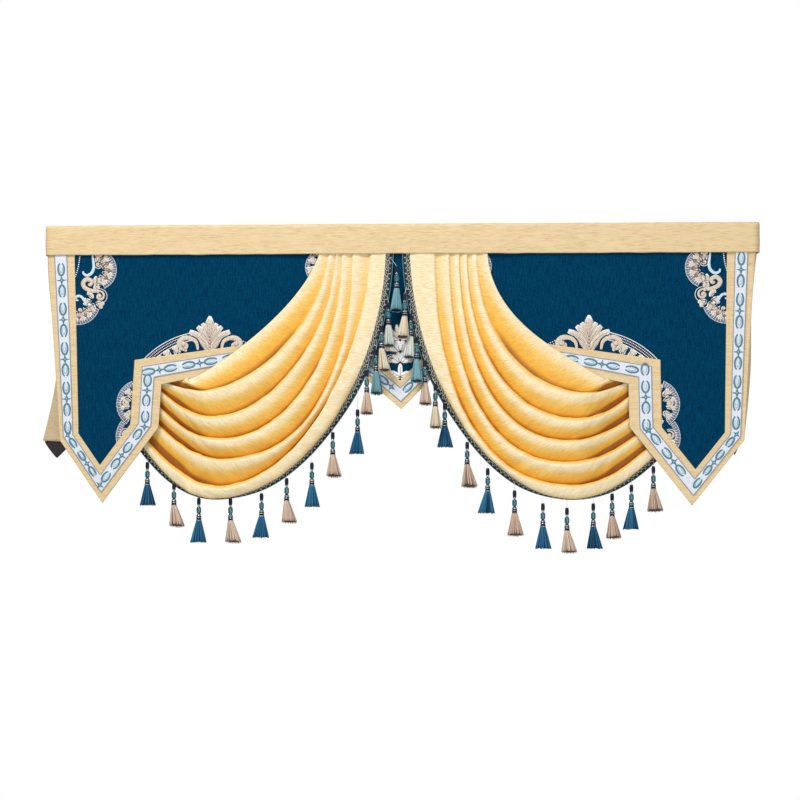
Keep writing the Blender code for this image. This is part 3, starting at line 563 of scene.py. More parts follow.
def cord_block(paths, up, half_width, half_height, sides=6, shade=0.5):
    """Cords along paths (cords, points, 3): at each point an ellipse across the path, half_width sideways and
    half_height along up, with both ends capped."""
    paths = np.asarray(paths, float)
    count, points = paths.shape[:2]
    along = unit(np.gradient(paths, axis=1))
    sideways = unit(np.cross(along, np.broadcast_to(up, paths.shape)))
    raised = np.cross(sideways, along)
    turn = np.arange(sides) * 2 * math.pi / sides
    width, height = (np.broadcast_to(half, (count, points))[..., None, None] for half in (half_width, half_height))
    rings = (paths[:, :, None] + sideways[:, :, None] * width * np.cos(turn)[:, None]
             + raised[:, :, None] * height * np.sin(turn)[:, None])
    start = (np.arange(count) * points * sides)[:, None, None]
    faces = (lattice(points, sides, round_columns=True)[None] + start).reshape(-1, 4)
    first = np.arange(sides)[None] + start[:, 0]
    caps = [first, (first + (points - 1) * sides)[:, ::-1]]
    pattern = np.stack(np.broadcast_arrays(
        travelled(paths, 1)[:, :, None], np.cos(turn) * 0.004 + np.arange(count)[:, None, None] * 0.05), axis=-1)
    tones = np.broadcast_to(np.broadcast_to(shade, (count, points))[..., None], (count, points, sides))
    return rings.reshape(-1, 3), faces, pattern.reshape(-1, 2), tones.reshape(-1), caps


def round_bead():
    """A bead of few faces: an octahedron whose edges are halved and whose corners are blown round."""
    corners = [tuple(sign * (axis == i) for i in range(3)) for axis in range(3) for sign in (1, -1)]
    pairs = [(a, b) for a in range(6) for b in range(a + 1, 6) if a // 2 != b // 2]
    points = unit(np.array(corners + [np.add(corners[a], corners[b]) for a, b in pairs], float))
    middle = {pair: 6 + number for number, pair in enumerate(pairs)}
    faces = []
    for x, y, z in ((x, y, z) for x in (0, 1) for y in (2, 3) for z in (4, 5)):
        a, b, c = middle[x, y], middle[y, z], middle[x, z]
        eighth = [(x, a, c), (y, b, a), (z, c, b), (a, b, c)]
        faces += eighth if (x + y + z) % 2 == 0 else [face[::-1] for face in eighth]
    return points, np.array(faces)


BEAD_POINTS, BEAD_FACES = round_bead()


def knot_block(centres, up, radius, height):
    """Small round knots at centres (knots, 3), flattened along up."""
    centres = np.asarray(centres, float)
    up = unit(np.broadcast_to(up, centres.shape))
    radius = np.broadcast_to(radius, (len(centres),))[:, None, None]
    ball = BEAD_POINTS[None] * radius
    lifted = (ball * up[:, None]).sum(-1, keepdims=True)
    points = centres[:, None] + ball + up[:, None] * lifted * (height / radius - 1)
    faces = (BEAD_FACES[None] + (np.arange(len(centres)) * len(BEAD_POINTS))[:, None, None]).reshape(-1, 3)
    pattern = BEAD_POINTS[None, :, :2] * 0.002 + np.arange(len(centres))[:, None, None] * 0.01
    return points.reshape(-1, 3), faces, pattern.reshape(-1, 2), np.full(points.size // 3, 0.5)


def turned_block(profile, centre, sides, shade=0.5):
    """A profile of (drop, radius) turned about an upright axis through centre, with both ends capped."""
    drop, radius = np.asarray(profile, float).T
    turn = -np.arange(sides) * 2 * math.pi / sides
    rings = np.stack(np.broadcast_arrays(
        centre[0] + radius[:, None] * np.cos(turn), centre[1] + radius[:, None] * np.sin(turn),
        (centre[2] - drop)[:, None]), axis=-1)
    faces = lattice(len(drop), sides, round_columns=True)[:, ::-1]
    first = np.arange(sides)[None]
    caps = [first[:, ::-1], first + (len(drop) - 1) * sides]
    pattern = np.stack(np.broadcast_arrays(turn * 0.004, drop[:, None]), axis=-1)
    tones = np.full(rings.shape[0] * sides, shade)
    return rings.reshape(-1, 3), faces, pattern.reshape(-1, 2), tones, caps


def piece(name, blocks, cloth=0.0, replaces=()):
    """One object from blocks of (finish, block), with its cloth pattern as a UV map and its tone at each point."""
    points, faces, patterns, tones, indices, finishes = [], [], [], [], [], []
    start = 0
    for finish_name, block in blocks:
        if finish_name not in finishes:
            finishes.append(finish_name)
        groups = [block[1]] + list(block[4] if len(block) > 4 else [])
        for group in groups:
            faces += (group + start).tolist()
            indices += [finishes.index(finish_name)] * len(group)
        points.append(block[0])
        patterns.append(block[2])
        tones.append(block[3])
        start += len(block[0])
    mesh = bpy.data.meshes.new(name)
    mesh.from_pydata(np.concatenate(points).tolist(), [], faces)
    corner = np.empty(len(mesh.loops), np.int32)
    mesh.loops.foreach_get("vertex_index", corner)
    pattern, shade = np.concatenate(patterns)[corner].ravel(), np.concatenate(tones)
    mesh.uv_layers.new(name="cloth").data.foreach_set("uv", pattern.astype(np.float32))
    mesh.attributes.new("tone", "FLOAT", "POINT").data.foreach_set("value", shade.astype(np.float32))
    for finish_name in finishes:
        mesh.materials.append(finish(finish_name))
    mesh.polygons.foreach_set("material_index", np.array(indices, np.int32))
    mesh.polygons.foreach_set("use_smooth", np.ones(len(mesh.polygons), bool))
    mesh.update()
    made = bpy.data.objects.new(name, mesh)
    bpy.context.scene.collection.objects.link(made)
    if cloth:
        solidify = made.modifiers.new("Cloth thickness", "SOLIDIFY")
        solidify.thickness, solidify.offset, solidify.use_even_offset = cloth, 0.0, False
    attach(made, "root")
    if replaces:
        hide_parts(*replaces)
    return made


# ---- Flat cloths in the pattern plane


def offset_line(corners, widths):
    """The line at these widths in from each stretch of an outline, mitred at its corners."""
    lines = []
    for (start, end), (near, far) in zip(zip(corners, corners[1:]), widths):
        start, end = np.array(start), np.array(end)
        way = unit(end - start)
        inward = np.array((-way[1], way[0]))
        lines.append((start + inward * near, end + inward * far))
    points = [lines[0][0]]
    for (a, b), (c, d) in zip(lines, lines[1:]):
        first, second = b - a, d - c
        across = first[0] * second[1] - first[1] * second[0]
        points.append(a + first * ((c[0] - a[0]) * second[1] - (c[1] - a[1]) * second[0]) / across)
    points.append(lines[-1][1])
    return np.array(points)


def border_lines(side):
    """The four lines of a border: outer edge, braid's two sides and the border's inner edge."""
    if side == "centre":
        corners, bands, turned = CENTRE_CORNERS, CENTRE_BANDS, 1.0
    else:
        corners, bands, turned = list(END_CORNERS[side]), list(END_BANDS), 1.0 if side == "left" else -1.0
        if side == "right":
            bands[3] = RIGHT_UPRIGHT_BAND
        (a, b), (c, d) = corners[-2], corners[-1]
        share = (math.copysign(BORDER_END, a) - a) / (c - a)
        corners[-1] = (a + share * (c - a), b + share * (d - b))
    lines = [np.array(corners)] + [
        offset_line(corners, [(turned * near[i], turned * far[i]) for near, far in bands]) for i in range(3)
    ]
    for line in lines[1:]:
        if side == "centre":
            for end, inner in ((0, 1), (-1, -2)):
                share = (corners[end][0] - line[inner][0]) / (line[end][0] - line[inner][0])
                line[end] = line[inner] + share * (line[end] - line[inner])
        else:
            line[0] = (line[0][0], TUCK_TOP)
    return lines


def dense(line, step, like=None):
    """Points along a line of corners about a step apart, keeping the corners. Each stretch gets as many points as
    the same stretch of another line, where one is given."""
    lengths = np.linalg.norm(np.diff(line if like is None else like, axis=0), axis=1)
    counts = np.maximum(1, np.round(lengths / step).astype(int))
    parts = [start + (end - start) * (np.arange(count) / count)[:, None]
             for start, end, count in zip(line, line[1:], counts)]
    return np.concatenate(parts + [line[-1:]])


def ruled(first, second, across, step):
    """A grid between two lines that have the same corners: straight across from one to the other."""
    share = np.asarray(across)[:, None, None]
    return dense(first, step) * (1 - share) + dense(second, step, first) * share


def flat_block(plane, layer, lift=0.0):
    """A grid of pattern points as cloth at its layer, with the panel's wave and a lift of its own."""
    along, height = plane[..., 0], plane[..., 1]
    return sheet_block(wrap(along, layer + panel_wave(along, height) + lift, height), plane)


def on_plane(points, layer):
    """Points of the pattern plane as they lie on a flat cloth at its layer, and the way that stands up from it."""
    along, height = points[..., 0], points[..., 1]
    wave = layer + panel_wave(along, height)
    low = wrap(along, wave, height)
    return low, unit(wrap(along, wave + 0.001, height) - low)


def plane_cords(paths, layer, half_width, half_height, sides=6):
    """Cords that lie on a flat cloth, from paths (cords, points, 2) in the pattern plane."""
    return cord_block(*on_plane(np.asarray(paths, float), layer), half_width, half_height, sides)


def plane_knots(points, layer, radius, height):
    """Knots on a flat cloth, from points (knots, 2) in the pattern plane."""
    return knot_block(*on_plane(np.asarray(points, float), layer), radius, height)


def panel_name(side):
    return "centre_tail" if side == "centre" else f"{side}_panel"


def make_panels():
    """Teal panels: a grid of upright columns from the heading down to the cut edge, where the outermost columns
    fan out to follow the slanted side. The centre tail is the same between straight sides."""
    for side, corners in (*END_CORNERS.items(), ("centre", CENTRE_CORNERS)):
        bottom, cut, area = np.array(corners), TAIL_CUT, TAIL_AREA
        if side != "centre":
            bottom, cut, area = bottom[1:], PANEL_CUT, PANEL_AREA
        top = np.stack([bottom[:, 0], 0 * bottom[:, 0] + TUCK_TOP], axis=-1)
        if side != "centre":
            top[:2, 0] = corners[0][0], corners[2][0] * TIP_FAN
        plane = ruled(top, bottom, np.linspace(0, 1, 61), 0.0065)
        name = panel_name(side)
        made = piece(f"{name}_cloth", [("teal_pile", flat_block(plane, PANEL_LAYER))], PANEL_CLOTH, (name,))


def make_borders():
    """Gold borders and the braid on them: each is a strip between two mitred lines. The border's two long
    edges swell a little where the cloth is turned under, by a bump across the strip."""
    across = np.concatenate([np.linspace(0, 0.08, 4), np.linspace(0.14, 0.86, 9), np.linspace(0.92, 1, 4)])
    swell = 0.0003 * (np.exp(-(((across - 0.04) / 0.035) ** 2)) + np.exp(-(((across - 0.96) / 0.035) ** 2)))
    for side in ("left", "right", "centre"):
        lines = border_lines(side)
        plane = ruled(lines[0], lines[3], across, 0.006)
        lift = swell[:, None] + 0.00025 * value_noise(plane[..., 0] / 0.05, plane[..., 1] / 0.05, 5)
        block = flat_block(plane, BORDER_LAYER, lift)
        border = piece(f"{side}_border_cloth", [("crinkled_gold_border", block)], BORDER_CLOTH, (f"{side}_border",))
        plane = ruled(lines[1], lines[2], np.linspace(0, 1, 9), 0.006)
        braid = piece(f"{side}_braid_ribbon", [("woven_ribbon", flat_block(plane, BRAID_LAYER))], BRAID_CLOTH,
                      (f"{side}_braid",))
        blocks = chain_blocks(lines[1], lines[2], CHAIN_RHYTHM[side])
        chain = piece(f"{side}_braid_chain", blocks)


def chain_blocks(first, second, rhythm):
    """The braid's stitched chain. Along each stretch a four-pointed cross repeats; a ring with a pale filling
    stands on either side of it, open away from the cross. The two edges carry a cord each. Rhythm gives the
    place of the first cross and the repeat, stretch by stretch."""
    top = BRAID_LAYER + BRAID_CLOTH / 2
    stroke = sizes().chain_stroke
    blocks = [("braid_edge", plane_cords(dense(line + (other - line) * 0.035, 0.004)[None], top, 0.0009, 0.0005))
              for line, other in ((first, second), (second, first))]
    rings, fillings, levels, uprights, dots = [], [], [], [], []
    turn = towards(np.radians(np.linspace(20, 340, len(RING_STROKE))))
    arm = np.array((-1, -0.35, 0.35, 1))[:, None]
    for (start_at, repeat), (ring_from, cross_from, ring_to), corner, after in zip(
            rhythm, CHAIN_STARTS, zip(first, second), zip(first[1:], second[1:])):
        start, end = sum(corner) / 2, sum(after) / 2
        way = unit(end - start)
        across = np.array((-way[1], way[0]))
        reach = np.linalg.norm(end - start)
        width = abs(np.dot((corner[1] + after[1] - corner[0] - after[0]) / 2, across))
        for place in np.arange(start_at - repeat, reach + repeat, repeat):
            if cross_from < place < reach - 0.004:
                dots.append(start + way * place)
                levels.append(dots[-1] + arm * across * width * CROSS_WIDTH)
                uprights.append(dots[-1] + arm * way * repeat * CROSS_LENGTH)
            for hand in (1, -1):
                middle = place + hand * repeat * RING_FROM_CROSS
                if ring_from < middle < reach - ring_to:
                    centre = start + way * middle
                    rings.append(centre + turn[:, :1] * way * hand * repeat * RING_LENGTH
                                 + turn[:, 1:] * across * width * RING_WIDTH)
                    fillings.append(centre + np.outer((-1, -0.4, 0.4, 1), way * repeat * FILLING_LENGTH))
    for thread, paths, width, height in (
        ("braid_pale", fillings, FILLING_STROKE, 0.0003), ("braid_blue", rings, stroke * RING_STROKE, 0.0007),
        ("braid_blue", levels, stroke * 0.60 * CROSS_STROKE, 0.0007),
        ("braid_blue", uprights, stroke * 0.78 * CROSS_STROKE, 0.0007),
    ):
        blocks.append((thread, plane_cords(paths, top, width, height)))
    blocks.append(("braid_pale", plane_knots(dots, top + 0.0006, 0.0013, 0.0006)))
    return blocks


# ---- Embroidery


def inside(points, outline):
    """Whether points lie in a closed outline: an upward ray crosses it an odd number of times."""
    crossings = np.zeros(points.shape[:-1], int)
    x, y = points[..., 0], points[..., 1]
    for (a, b), (c, d) in zip(outline, np.roll(outline, -1, axis=0)):
        spans = (a > x) != (c > x)
        level = b + (d - b) * (x - a) / np.where(c == a, 1e-9, c - a)
        crossings += spans & (level > y)
    return crossings % 2 == 1


def curl(centre, size, start, turns, hand=1.0, points=26):
    """A scroll: a spiral about centre whose radius shrinks from size to a fifth of it over these turns."""
    share = np.linspace(0, 1, points)
    radius = size * (1 - 0.8 * share**0.8)
    return centre + radius[:, None] * towards(start + hand * turns * 2 * math.pi * share)


def arc(centre, radius, start, end, points=26):
    """An arc about centre, in degrees."""
    return centre + radius * towards(np.radians(np.linspace(start, end, points)))


def leaf(foot, length, heading, bend=0.0, points=11):
    """The middle line of a leaf: it starts at foot, heads this way in degrees and bends evenly."""
    steps = towards(np.radians(heading + bend * np.linspace(0, 1, points))) * length / (points - 1)
    return foot + np.concatenate([[(0, 0)], np.cumsum(steps[:-1], axis=0)])


# How far the stitches go down into the cloth, how high they may stand under the border, and how far they keep from
# the panel's cut edge
STITCH_SUNK, STITCH_UNDER, STITCH_MARGIN = 0.0012, 0.0009, 0.008
# From tooth to tooth of a picot edge
TOOTH_SPACING = 0.0027


class Stitching:
    """Gathers the paths that lie wholly on the panel by thread, then lays them on the cloth as raised cords with an
    outline beneath. Under the border they are pressed flat."""

    def __init__(self, side, mirror):
        self.mirror, self.paths = mirror, {}
        corners = CENTRE_CORNERS if side == "centre" else END_CORNERS[side]
        margin = -STITCH_MARGIN if side == "right" else STITCH_MARGIN
        cut, bare = offset_line(corners, [(margin, margin)] * (len(corners) - 1)), border_lines(side)[3]
        first, cut = cut[0][0], cut[0 if side == "centre" else 1:]
        self.panel = np.concatenate([[(first, PANEL_SHOWS)], cut, [(cut[-1][0], PANEL_SHOWS)]])
        self.bare = np.concatenate([[(bare[0][0], TUCK_TOP)], bare, [(bare[-1][0], TUCK_TOP)]])

    def lay(self, thread, paths, width, height, taper=0.0, outline=None):
        """Paths of one length share a width in metres, which narrows towards both ends by taper."""
        paths = [path * (self.mirror, 1.0) for path in paths]
        laid = self.paths.setdefault((thread, len(paths[0]), width, height, taper, outline), [])
        laid.extend(path for path in paths if inside(path, self.panel).all())

    def knots(self, thread, points, radius, height=0.0):
        """Round knots at points, as high as height or 0.7 of their radius."""
        self.lay(thread, np.reshape(points, (-1, 1, 2)), radius, height or radius * 0.7)

    def blocks(self):
        """One block for each set of paths, with a wider and lower one beneath it where it has an outline."""
        top = PANEL_LAYER + PANEL_CLOTH / 2
        high = sizes().stitch_height
        made = []
        for (thread, points, width, height, taper, outline), paths in self.paths.items():
            if not paths:
                continue
            paths = np.array(paths)
            room = np.where(inside(paths, self.bare), 1.0, STITCH_UNDER)
            if points == 1:
                tall = np.minimum(height, room)
                level = top + (tall[:, 0] - STITCH_SUNK) / 2
                made.append((thread, plane_knots(paths[:, 0], level, width, (tall[..., None] + STITCH_SUNK) / 2)))
                continue
            share = np.linspace(0, 1, points)
            narrowing = 1 - taper * np.abs(2 * share - 1) ** 2.2
            layers = ((thread, height * high * narrowing, 0.0, 8), (outline, high * 0.65, 0.0018, 6))
            for yarn, tall, wider, sides in layers[:2 if outline else 1]:
                tall = np.minimum(tall, room)
                level, half = top + (tall - STITCH_SUNK) / 2, width / 2 * narrowing + wider
                made.append((yarn, plane_cords(paths, level, half, (tall + STITCH_SUNK) / 2, sides)))
        return made


def comb(work, centre, radius, start, end, reach=0.0105):
    """A picot edge: short straight stitches side by side, white and lilac by turns, across a dark band that runs
    round centre, with a knot at the outer end of each."""
    work.lay("navy_thread", [arc(centre, radius - reach / 2, start, end, 41)], reach, 0.35)
    count = int(math.radians(abs(end - start)) * radius / TOOTH_SPACING)
    ways = towards(np.radians(np.linspace(start, end, count)))
    teeth = centre + ways[:, None] * (radius - reach * np.array([0.95, 0.5, 0.0]))[:, None]
    work.lay("white_thread", teeth[::2], 0.0016, 0.9, 0.2)
    work.lay("lilac_thread", teeth[1::2], 0.0017, 0.8, 0.2)
    work.knots("white_thread", centre + ways * (radius + 0.0010), 0.0012)


def scroll(work, centre, size, start, turns, hand, thread="cream_thread"):
    """A fat scroll that curls into a ball, with a navy outline and a thin white line on its back."""
    work.lay(thread, [curl(centre, size, math.radians(start), turns, hand)], size * 0.52, 1.2, 0.35, "navy_thread")
    work.lay("white_thread", [arc(centre, size * 1.30, start, start + hand * 200, 21)], 0.0015, 0.9, 0.2)
    work.knots(thread, centre, size * 0.36)


def lobes(work, centre, radius, start, end, count, size):
    """Comma-shaped lobes along an arc, each curling against the last, that overlap and leave no gap."""
    angles = np.linspace(start, end, count)
    for number, angle in enumerate(angles):
        hand = 1 if number % 2 else -1
        foot = centre + towards(math.radians(angle)) * (radius - size * 0.55)
        work.lay("cream_thread", [leaf(foot, size * 1.5, angle + hand * 42, -hand * 95)], size * 0.72, 1.1, 0.5,
                 "white_thread")
        work.lay("navy_thread", [leaf(foot, size * 1.1, angle + hand * 30, -hand * 95)], 0.0013, 1.35, 0.3)
    between = towards(np.radians((angles[:-1] + angles[1:]) / 2))
    work.knots("navy_thread", centre + (radius - size * 0.45) * between, size * 0.17, 0.0018)


def winding(work, foot, keys, width, thread="cream_thread", hand=1):
    """A stem through keys in millimetres from its foot, outlined in navy. Hand -1 turns it the other way."""
    path = np.array(foot) + spline(keys, 6) * (0.001 * hand, 0.001)
    work.lay(thread, [path], width, 1.15, 0.35, "navy_thread")


def crown(work, foot):
    """A crown of plumes in millimetres from its foot: pairs fan out from a spine of knots, lowest ones last and
    widest, under a pointed top leaf. A dark arc parts it on each side from a stem that rolls up into a ball."""
    foot = np.array(foot)
    for hand in (1, -1):
        for out, up, reach, turn, bend, width in ((3, -12, 0.034, 15, 50, 0.013), (2, 16, 0.035, 14, 20, 0.011),
                                                  (3, 8, 0.041, 22, 28, 0.012), (5, 0, 0.050, 34, 38, 0.013)):
            start = foot + (-0.001 * out * hand, 0.001 * up)
            work.lay("cream_thread", [leaf(start, reach, 90 + hand * turn, hand * bend)], width, 1.15, 0.50,
                     "white_thread")
            for shift in (-2, 2):
                work.lay("taupe_thread", [leaf(start + (0.0006 * shift, 0), reach * 0.78, 90 + hand * (turn + shift),
                                               hand * bend * 0.8)], 0.0010, 1.42, 0.4)
        work.lay("navy_thread", [foot + spline(((-18, -9), (-21, 5), (-27, 15), (-36, 21), (-46, 22)), 6)
                                 * (0.001 * hand, 0.001)], 0.0030, 1.2, 0.5)
        winding(work, foot, ((-25, -8), (-28, 7), (-36, 15), (-47, 18), (-58, 16), (-65, 8), (-63, -2), (-54, -5),
                             (-49, 2), (-54, 7)), 0.0112, hand=hand)
        work.knots("cream_thread", [foot + (-0.0560 * hand, 0.0050)], 0.0060)
    work.lay("cream_thread", [leaf(foot + (0, 0.010), 0.054, 90)], 0.0210, 1.25, 0.90, "white_thread")
    for hand in (1, -1):
        work.lay("taupe_thread", [leaf(foot + (-0.002 * hand, 0.022), 0.030, 90 + 8 * hand)], 0.0010, 1.6, 0.4)
    for share in np.linspace(0.0, 1.0, 8):
        work.knots("blush_thread", [foot + (0, -0.006 + 0.050 * share)], 0.0036 - 0.0018 * share, 0.0028)
        work.knots("taupe_thread", [foot + (0, -0.0025 + 0.050 * share)], 0.0020 - 0.0010 * share, 0.0026)


def stitch_medallion(work):
    """A wreath about a point behind the swag: a crown on top, scrolls on a ring inside a dotted band, and lobed
    scalloped edges at its side."""
    centre = np.array((-0.403, -0.4125))
    crown(work, centre + (0.004, 0.156))
    for start, end in ((101, 138), (79, 30)):
        work.lay("navy_thread", [arc(centre, 0.180, start, end, 41)], 0.0130, 0.30)
        work.lay("white_thread", [arc(centre, radius, start, end, 61) for radius in (0.1875, 0.172)], 0.0019, 0.9)
        for radius in (0.1825, 0.1775):
            work.knots("white_thread", arc(centre, radius, start, end, 34), 0.0014)
        lobes(work, centre, 0.161, start + (8 if end > start else -8), end, 9, 0.013)
    upper = np.array((-0.5467 if work.mirror > 0 else -0.5357, -0.3787))
    lower = upper + (0.0, -0.0690)
    comb(work, upper, 0.050, 112, 234)
    scroll(work, upper + (-0.0300, 0.0020), 0.0105, 20, 1.2, 1)
    lobes(work, upper, 0.032, 112, 160, 4, 0.012)
    lobes(work, upper, 0.032, 196, 246, 4, 0.012)
    comb(work, lower, 0.0510, 142, 240)
    scroll(work, lower + (-0.0310, 0.0040), 0.0100, 60, 1.2, 1)
    lobes(work, lower, 0.033, 200, 244, 4, 0.012)


def stitch_corner(work):
    """A hanging spray in the outer top corner: two crescents with a comb edge outside, filled with lobes, scrolls
    and curling stems, and a string of pearls beside them."""
    upper, lower = np.array((-0.6412, -0.0939)), np.array((-0.6817, -0.1620))
    comb(work, upper, 0.0415, -66, 78)
    work.lay("taupe_thread", [arc(upper, 0.0245, -84, 92, 31)], 0.0150, 0.5)
    lobes(work, upper, 0.0230, -84, 92, 11, 0.0145)
    scroll(work, upper + (0.004, 0.012), 0.0070, 30, 1.1, -1)
    winding(work, upper, ((-9, 34), (-7, 18), (-6, 5), (-10, -6), (-19, -12), (-27, -9), (-29, -3)), 0.0076,
            "braid_pale")
    winding(work, upper, ((6, -34), (0, -44), (-12, -44), (-25, -38), (-29, -28), (-21, -20), (-11, -24), (-13, -32),
                          (-18, -30)), 0.0104)
    scroll(work, upper + (0.007, -0.056), 0.0120, 120, 1.25, -1)
    lobes(work, upper + (-0.006, -0.066), 0.013, 130, 350, 7, 0.0115)
    winding(work, upper, ((-12, -84), (-20, -76), (-26, -66), (-33, -57), (-42, -56), (-45, -63), (-39, -65)), 0.0066,
            "braid_pale")
    lobes(work, upper + (-0.004, -0.030), 0.010, -60, 60, 3, 0.0115)
    comb(work, lower, 0.0470, -104, -20)
    work.lay("taupe_thread", [arc(lower, 0.0300, -104, -16, 31)], 0.0150, 0.5)
    lobes(work, lower, 0.029, -116, -16, 9, 0.0140)
    scroll(work, lower + (0.004, -0.018), 0.0075, 200, 1.1, 1)
    pearls = np.linspace(0, 1, 12)
    string = np.stack([-0.6775 - 0.003 * pearls - 0.008 * pearls**2, -0.066 - 0.046 * pearls], axis=-1)
    work.lay("navy_thread", [string], 0.0046, 0.3)
    work.knots("white_thread", string, 0.0016)


def make_embroidery():
    """The end panels' ornament, mirrored on the right, and a palmette of leaves on the centre tail."""
    for side, mirror in (("left", 1.0), ("right", -1.0)):
        work = Stitching(side, mirror)
        stitch_medallion(work)
        stitch_corner(work)
        beside = np.array((-0.1585, -0.0900))
        comb(work, beside, 0.036, 118, 250, 0.009)
        lobes(work, beside, 0.0235, 112, 250, 7, 0.0125)
        scroll(work, beside + (-0.0130, 0.0100), 0.0085, 60, 1.2, -1)
        piece(f"{side}_embroidery", work.blocks())
    work = Stitching("centre", 1.0)
    middle = np.array((0.0045, -0.322))
    for level, spread, size in ((0.082, 0.030, 0.016), (0.058, 0.027, 0.018), (0.034, 0.021, 0.017)):
        for hand in (1, -1):
            for turn in (96, 60, 26):
                work.lay("white_thread", [leaf(middle + (0, level), spread, 90 + hand * turn, -hand * 26)],
                         size * 0.62, 1.1, 0.5, "taupe_thread")
                work.lay("navy_thread", [leaf(middle + (0, level - 0.005), spread * 0.8, 90 + hand * turn,
                                              -hand * 26)], 0.0014, 1.35, 0.4)
            scroll(work, middle + (spread * 0.95 * hand, level + 0.002), 0.0085, 90 + 90 * hand, 1.2, -hand)
    for turn, reach in ((0, 0.030), (52, 0.027), (-52, 0.027), (96, 0.020), (-96, 0.020)):
        work.lay("white_thread", [leaf(middle, reach, 90 + turn, turn * 0.5)], 0.0110, 1.2, 0.5, "navy_thread")
        work.lay("navy_thread", [leaf(middle, reach * 0.7, 90 + turn, turn * 0.4)], 0.0014, 1.45)
    piece("centre_embroidery", work.blocks())


# ---- Heading


def make_heading():
    """The heading: one strip bent over at the top by two quarter rounds, open below, and carried along the
    front, round both corners and back. Its front swells where the pleats are packed in."""
    quarter = np.linspace(0, math.pi / 2, 6)
    half, fold = HEADING_CLOTH / 2, HEADING_FOLD
    turn = fold - half
    out = np.concatenate([np.linspace(0, FRONT_HALF, 150)[1:], FRONT_HALF + np.linspace(0, QUARTER, 15)[1:],
                          FRONT_HALF + QUARTER + np.linspace(0, RETURN_DEPTH, 13)[1:]])
    along = np.concatenate([-out[::-1], [0], out])
    pleated = smooth((PLEATED_HALF + PLEATED_RAMP - np.abs(along)) / PLEATED_RAMP)
    depth = HEADING_DEPTH + PLEAT_ROOM * pleated
    back, front = np.linspace(-HEADING_DROP, -fold, 12), np.linspace(-fold, -HEADING_DROP, 22)
    behind = np.concatenate([0 * back + half, fold - turn * np.cos(quarter)])
    before = np.concatenate([turn * np.sin(quarter) - fold, 0 * front - half])
    forward = np.concatenate([behind[:, None] + 0 * along, depth + before[:, None]])
    height = np.concatenate([back, -fold + turn * np.sin(quarter), -fold + turn * np.cos(quarter), front])
    height = height[:, None] + 0 * along
    down = smooth((-height - fold) / (HEADING_DROP - fold))
    creases = 0.0004 * value_noise(along / 0.045, height / 0.02, 3)
    over_pleats = 0.0009 * pleated * down * value_noise(along / 0.014, height / 0.09, 8)
    is_front = (np.arange(len(forward)) > len(back))[:, None]
    forward = forward + np.where(is_front, creases + over_pleats, 0.0)
    hem = 0.0006 * value_noise(along / 0.03, 0 * height, 4)
    height = height + np.where(height < -HEADING_DROP + 0.001, hem, 0.0)
    pattern = np.stack([along + 0 * height, height + np.where(is_front, 0.0, 1.0)], axis=-1)
    block = sheet_block(wrap(along + 0 * height, forward, height), pattern)
    made = piece("heading_cloth", [("crinkled_gold_border", block)], HEADING_CLOTH, ("heading",))


# ---- Swags and their trim


def fold_line(fold, falls, rises, hidden):
    """One fold line as (out, z): a quarter of a superellipse down to its lowest point, a parabola up to the tail,
    then straight on behind it."""
    head, low_out, low_z, tuck_out, tuck_z, round_above, round_below, _ = fold
    angle = np.linspace(0, math.pi / 2, 241)
    roundness = np.linspace(round_above, round_below, 241)
    reach = (np.cos(angle) ** roundness + np.sin(angle) ** roundness) ** (-1 / roundness)
    out, z = low_out + (head - low_out) * reach * np.cos(angle), FOLD_TOP - (FOLD_TOP - low_z) * reach * np.sin(angle)
    run = travelled(np.stack([out, z], axis=-1))
    even = falls * run[-1]
    out_rise, z_rise = tuck_out - low_out, tuck_z - low_z
    behind = TUCKED_REACH * hidden
    out = np.concatenate([np.interp(even, run, out), low_out + out_rise * rises, tuck_out + behind])
    behind_z = tuck_z + 2 * z_rise / out_rise * behind
    return out, np.concatenate([np.interp(even, run, z), low_z + z_rise * rises**2, behind_z])


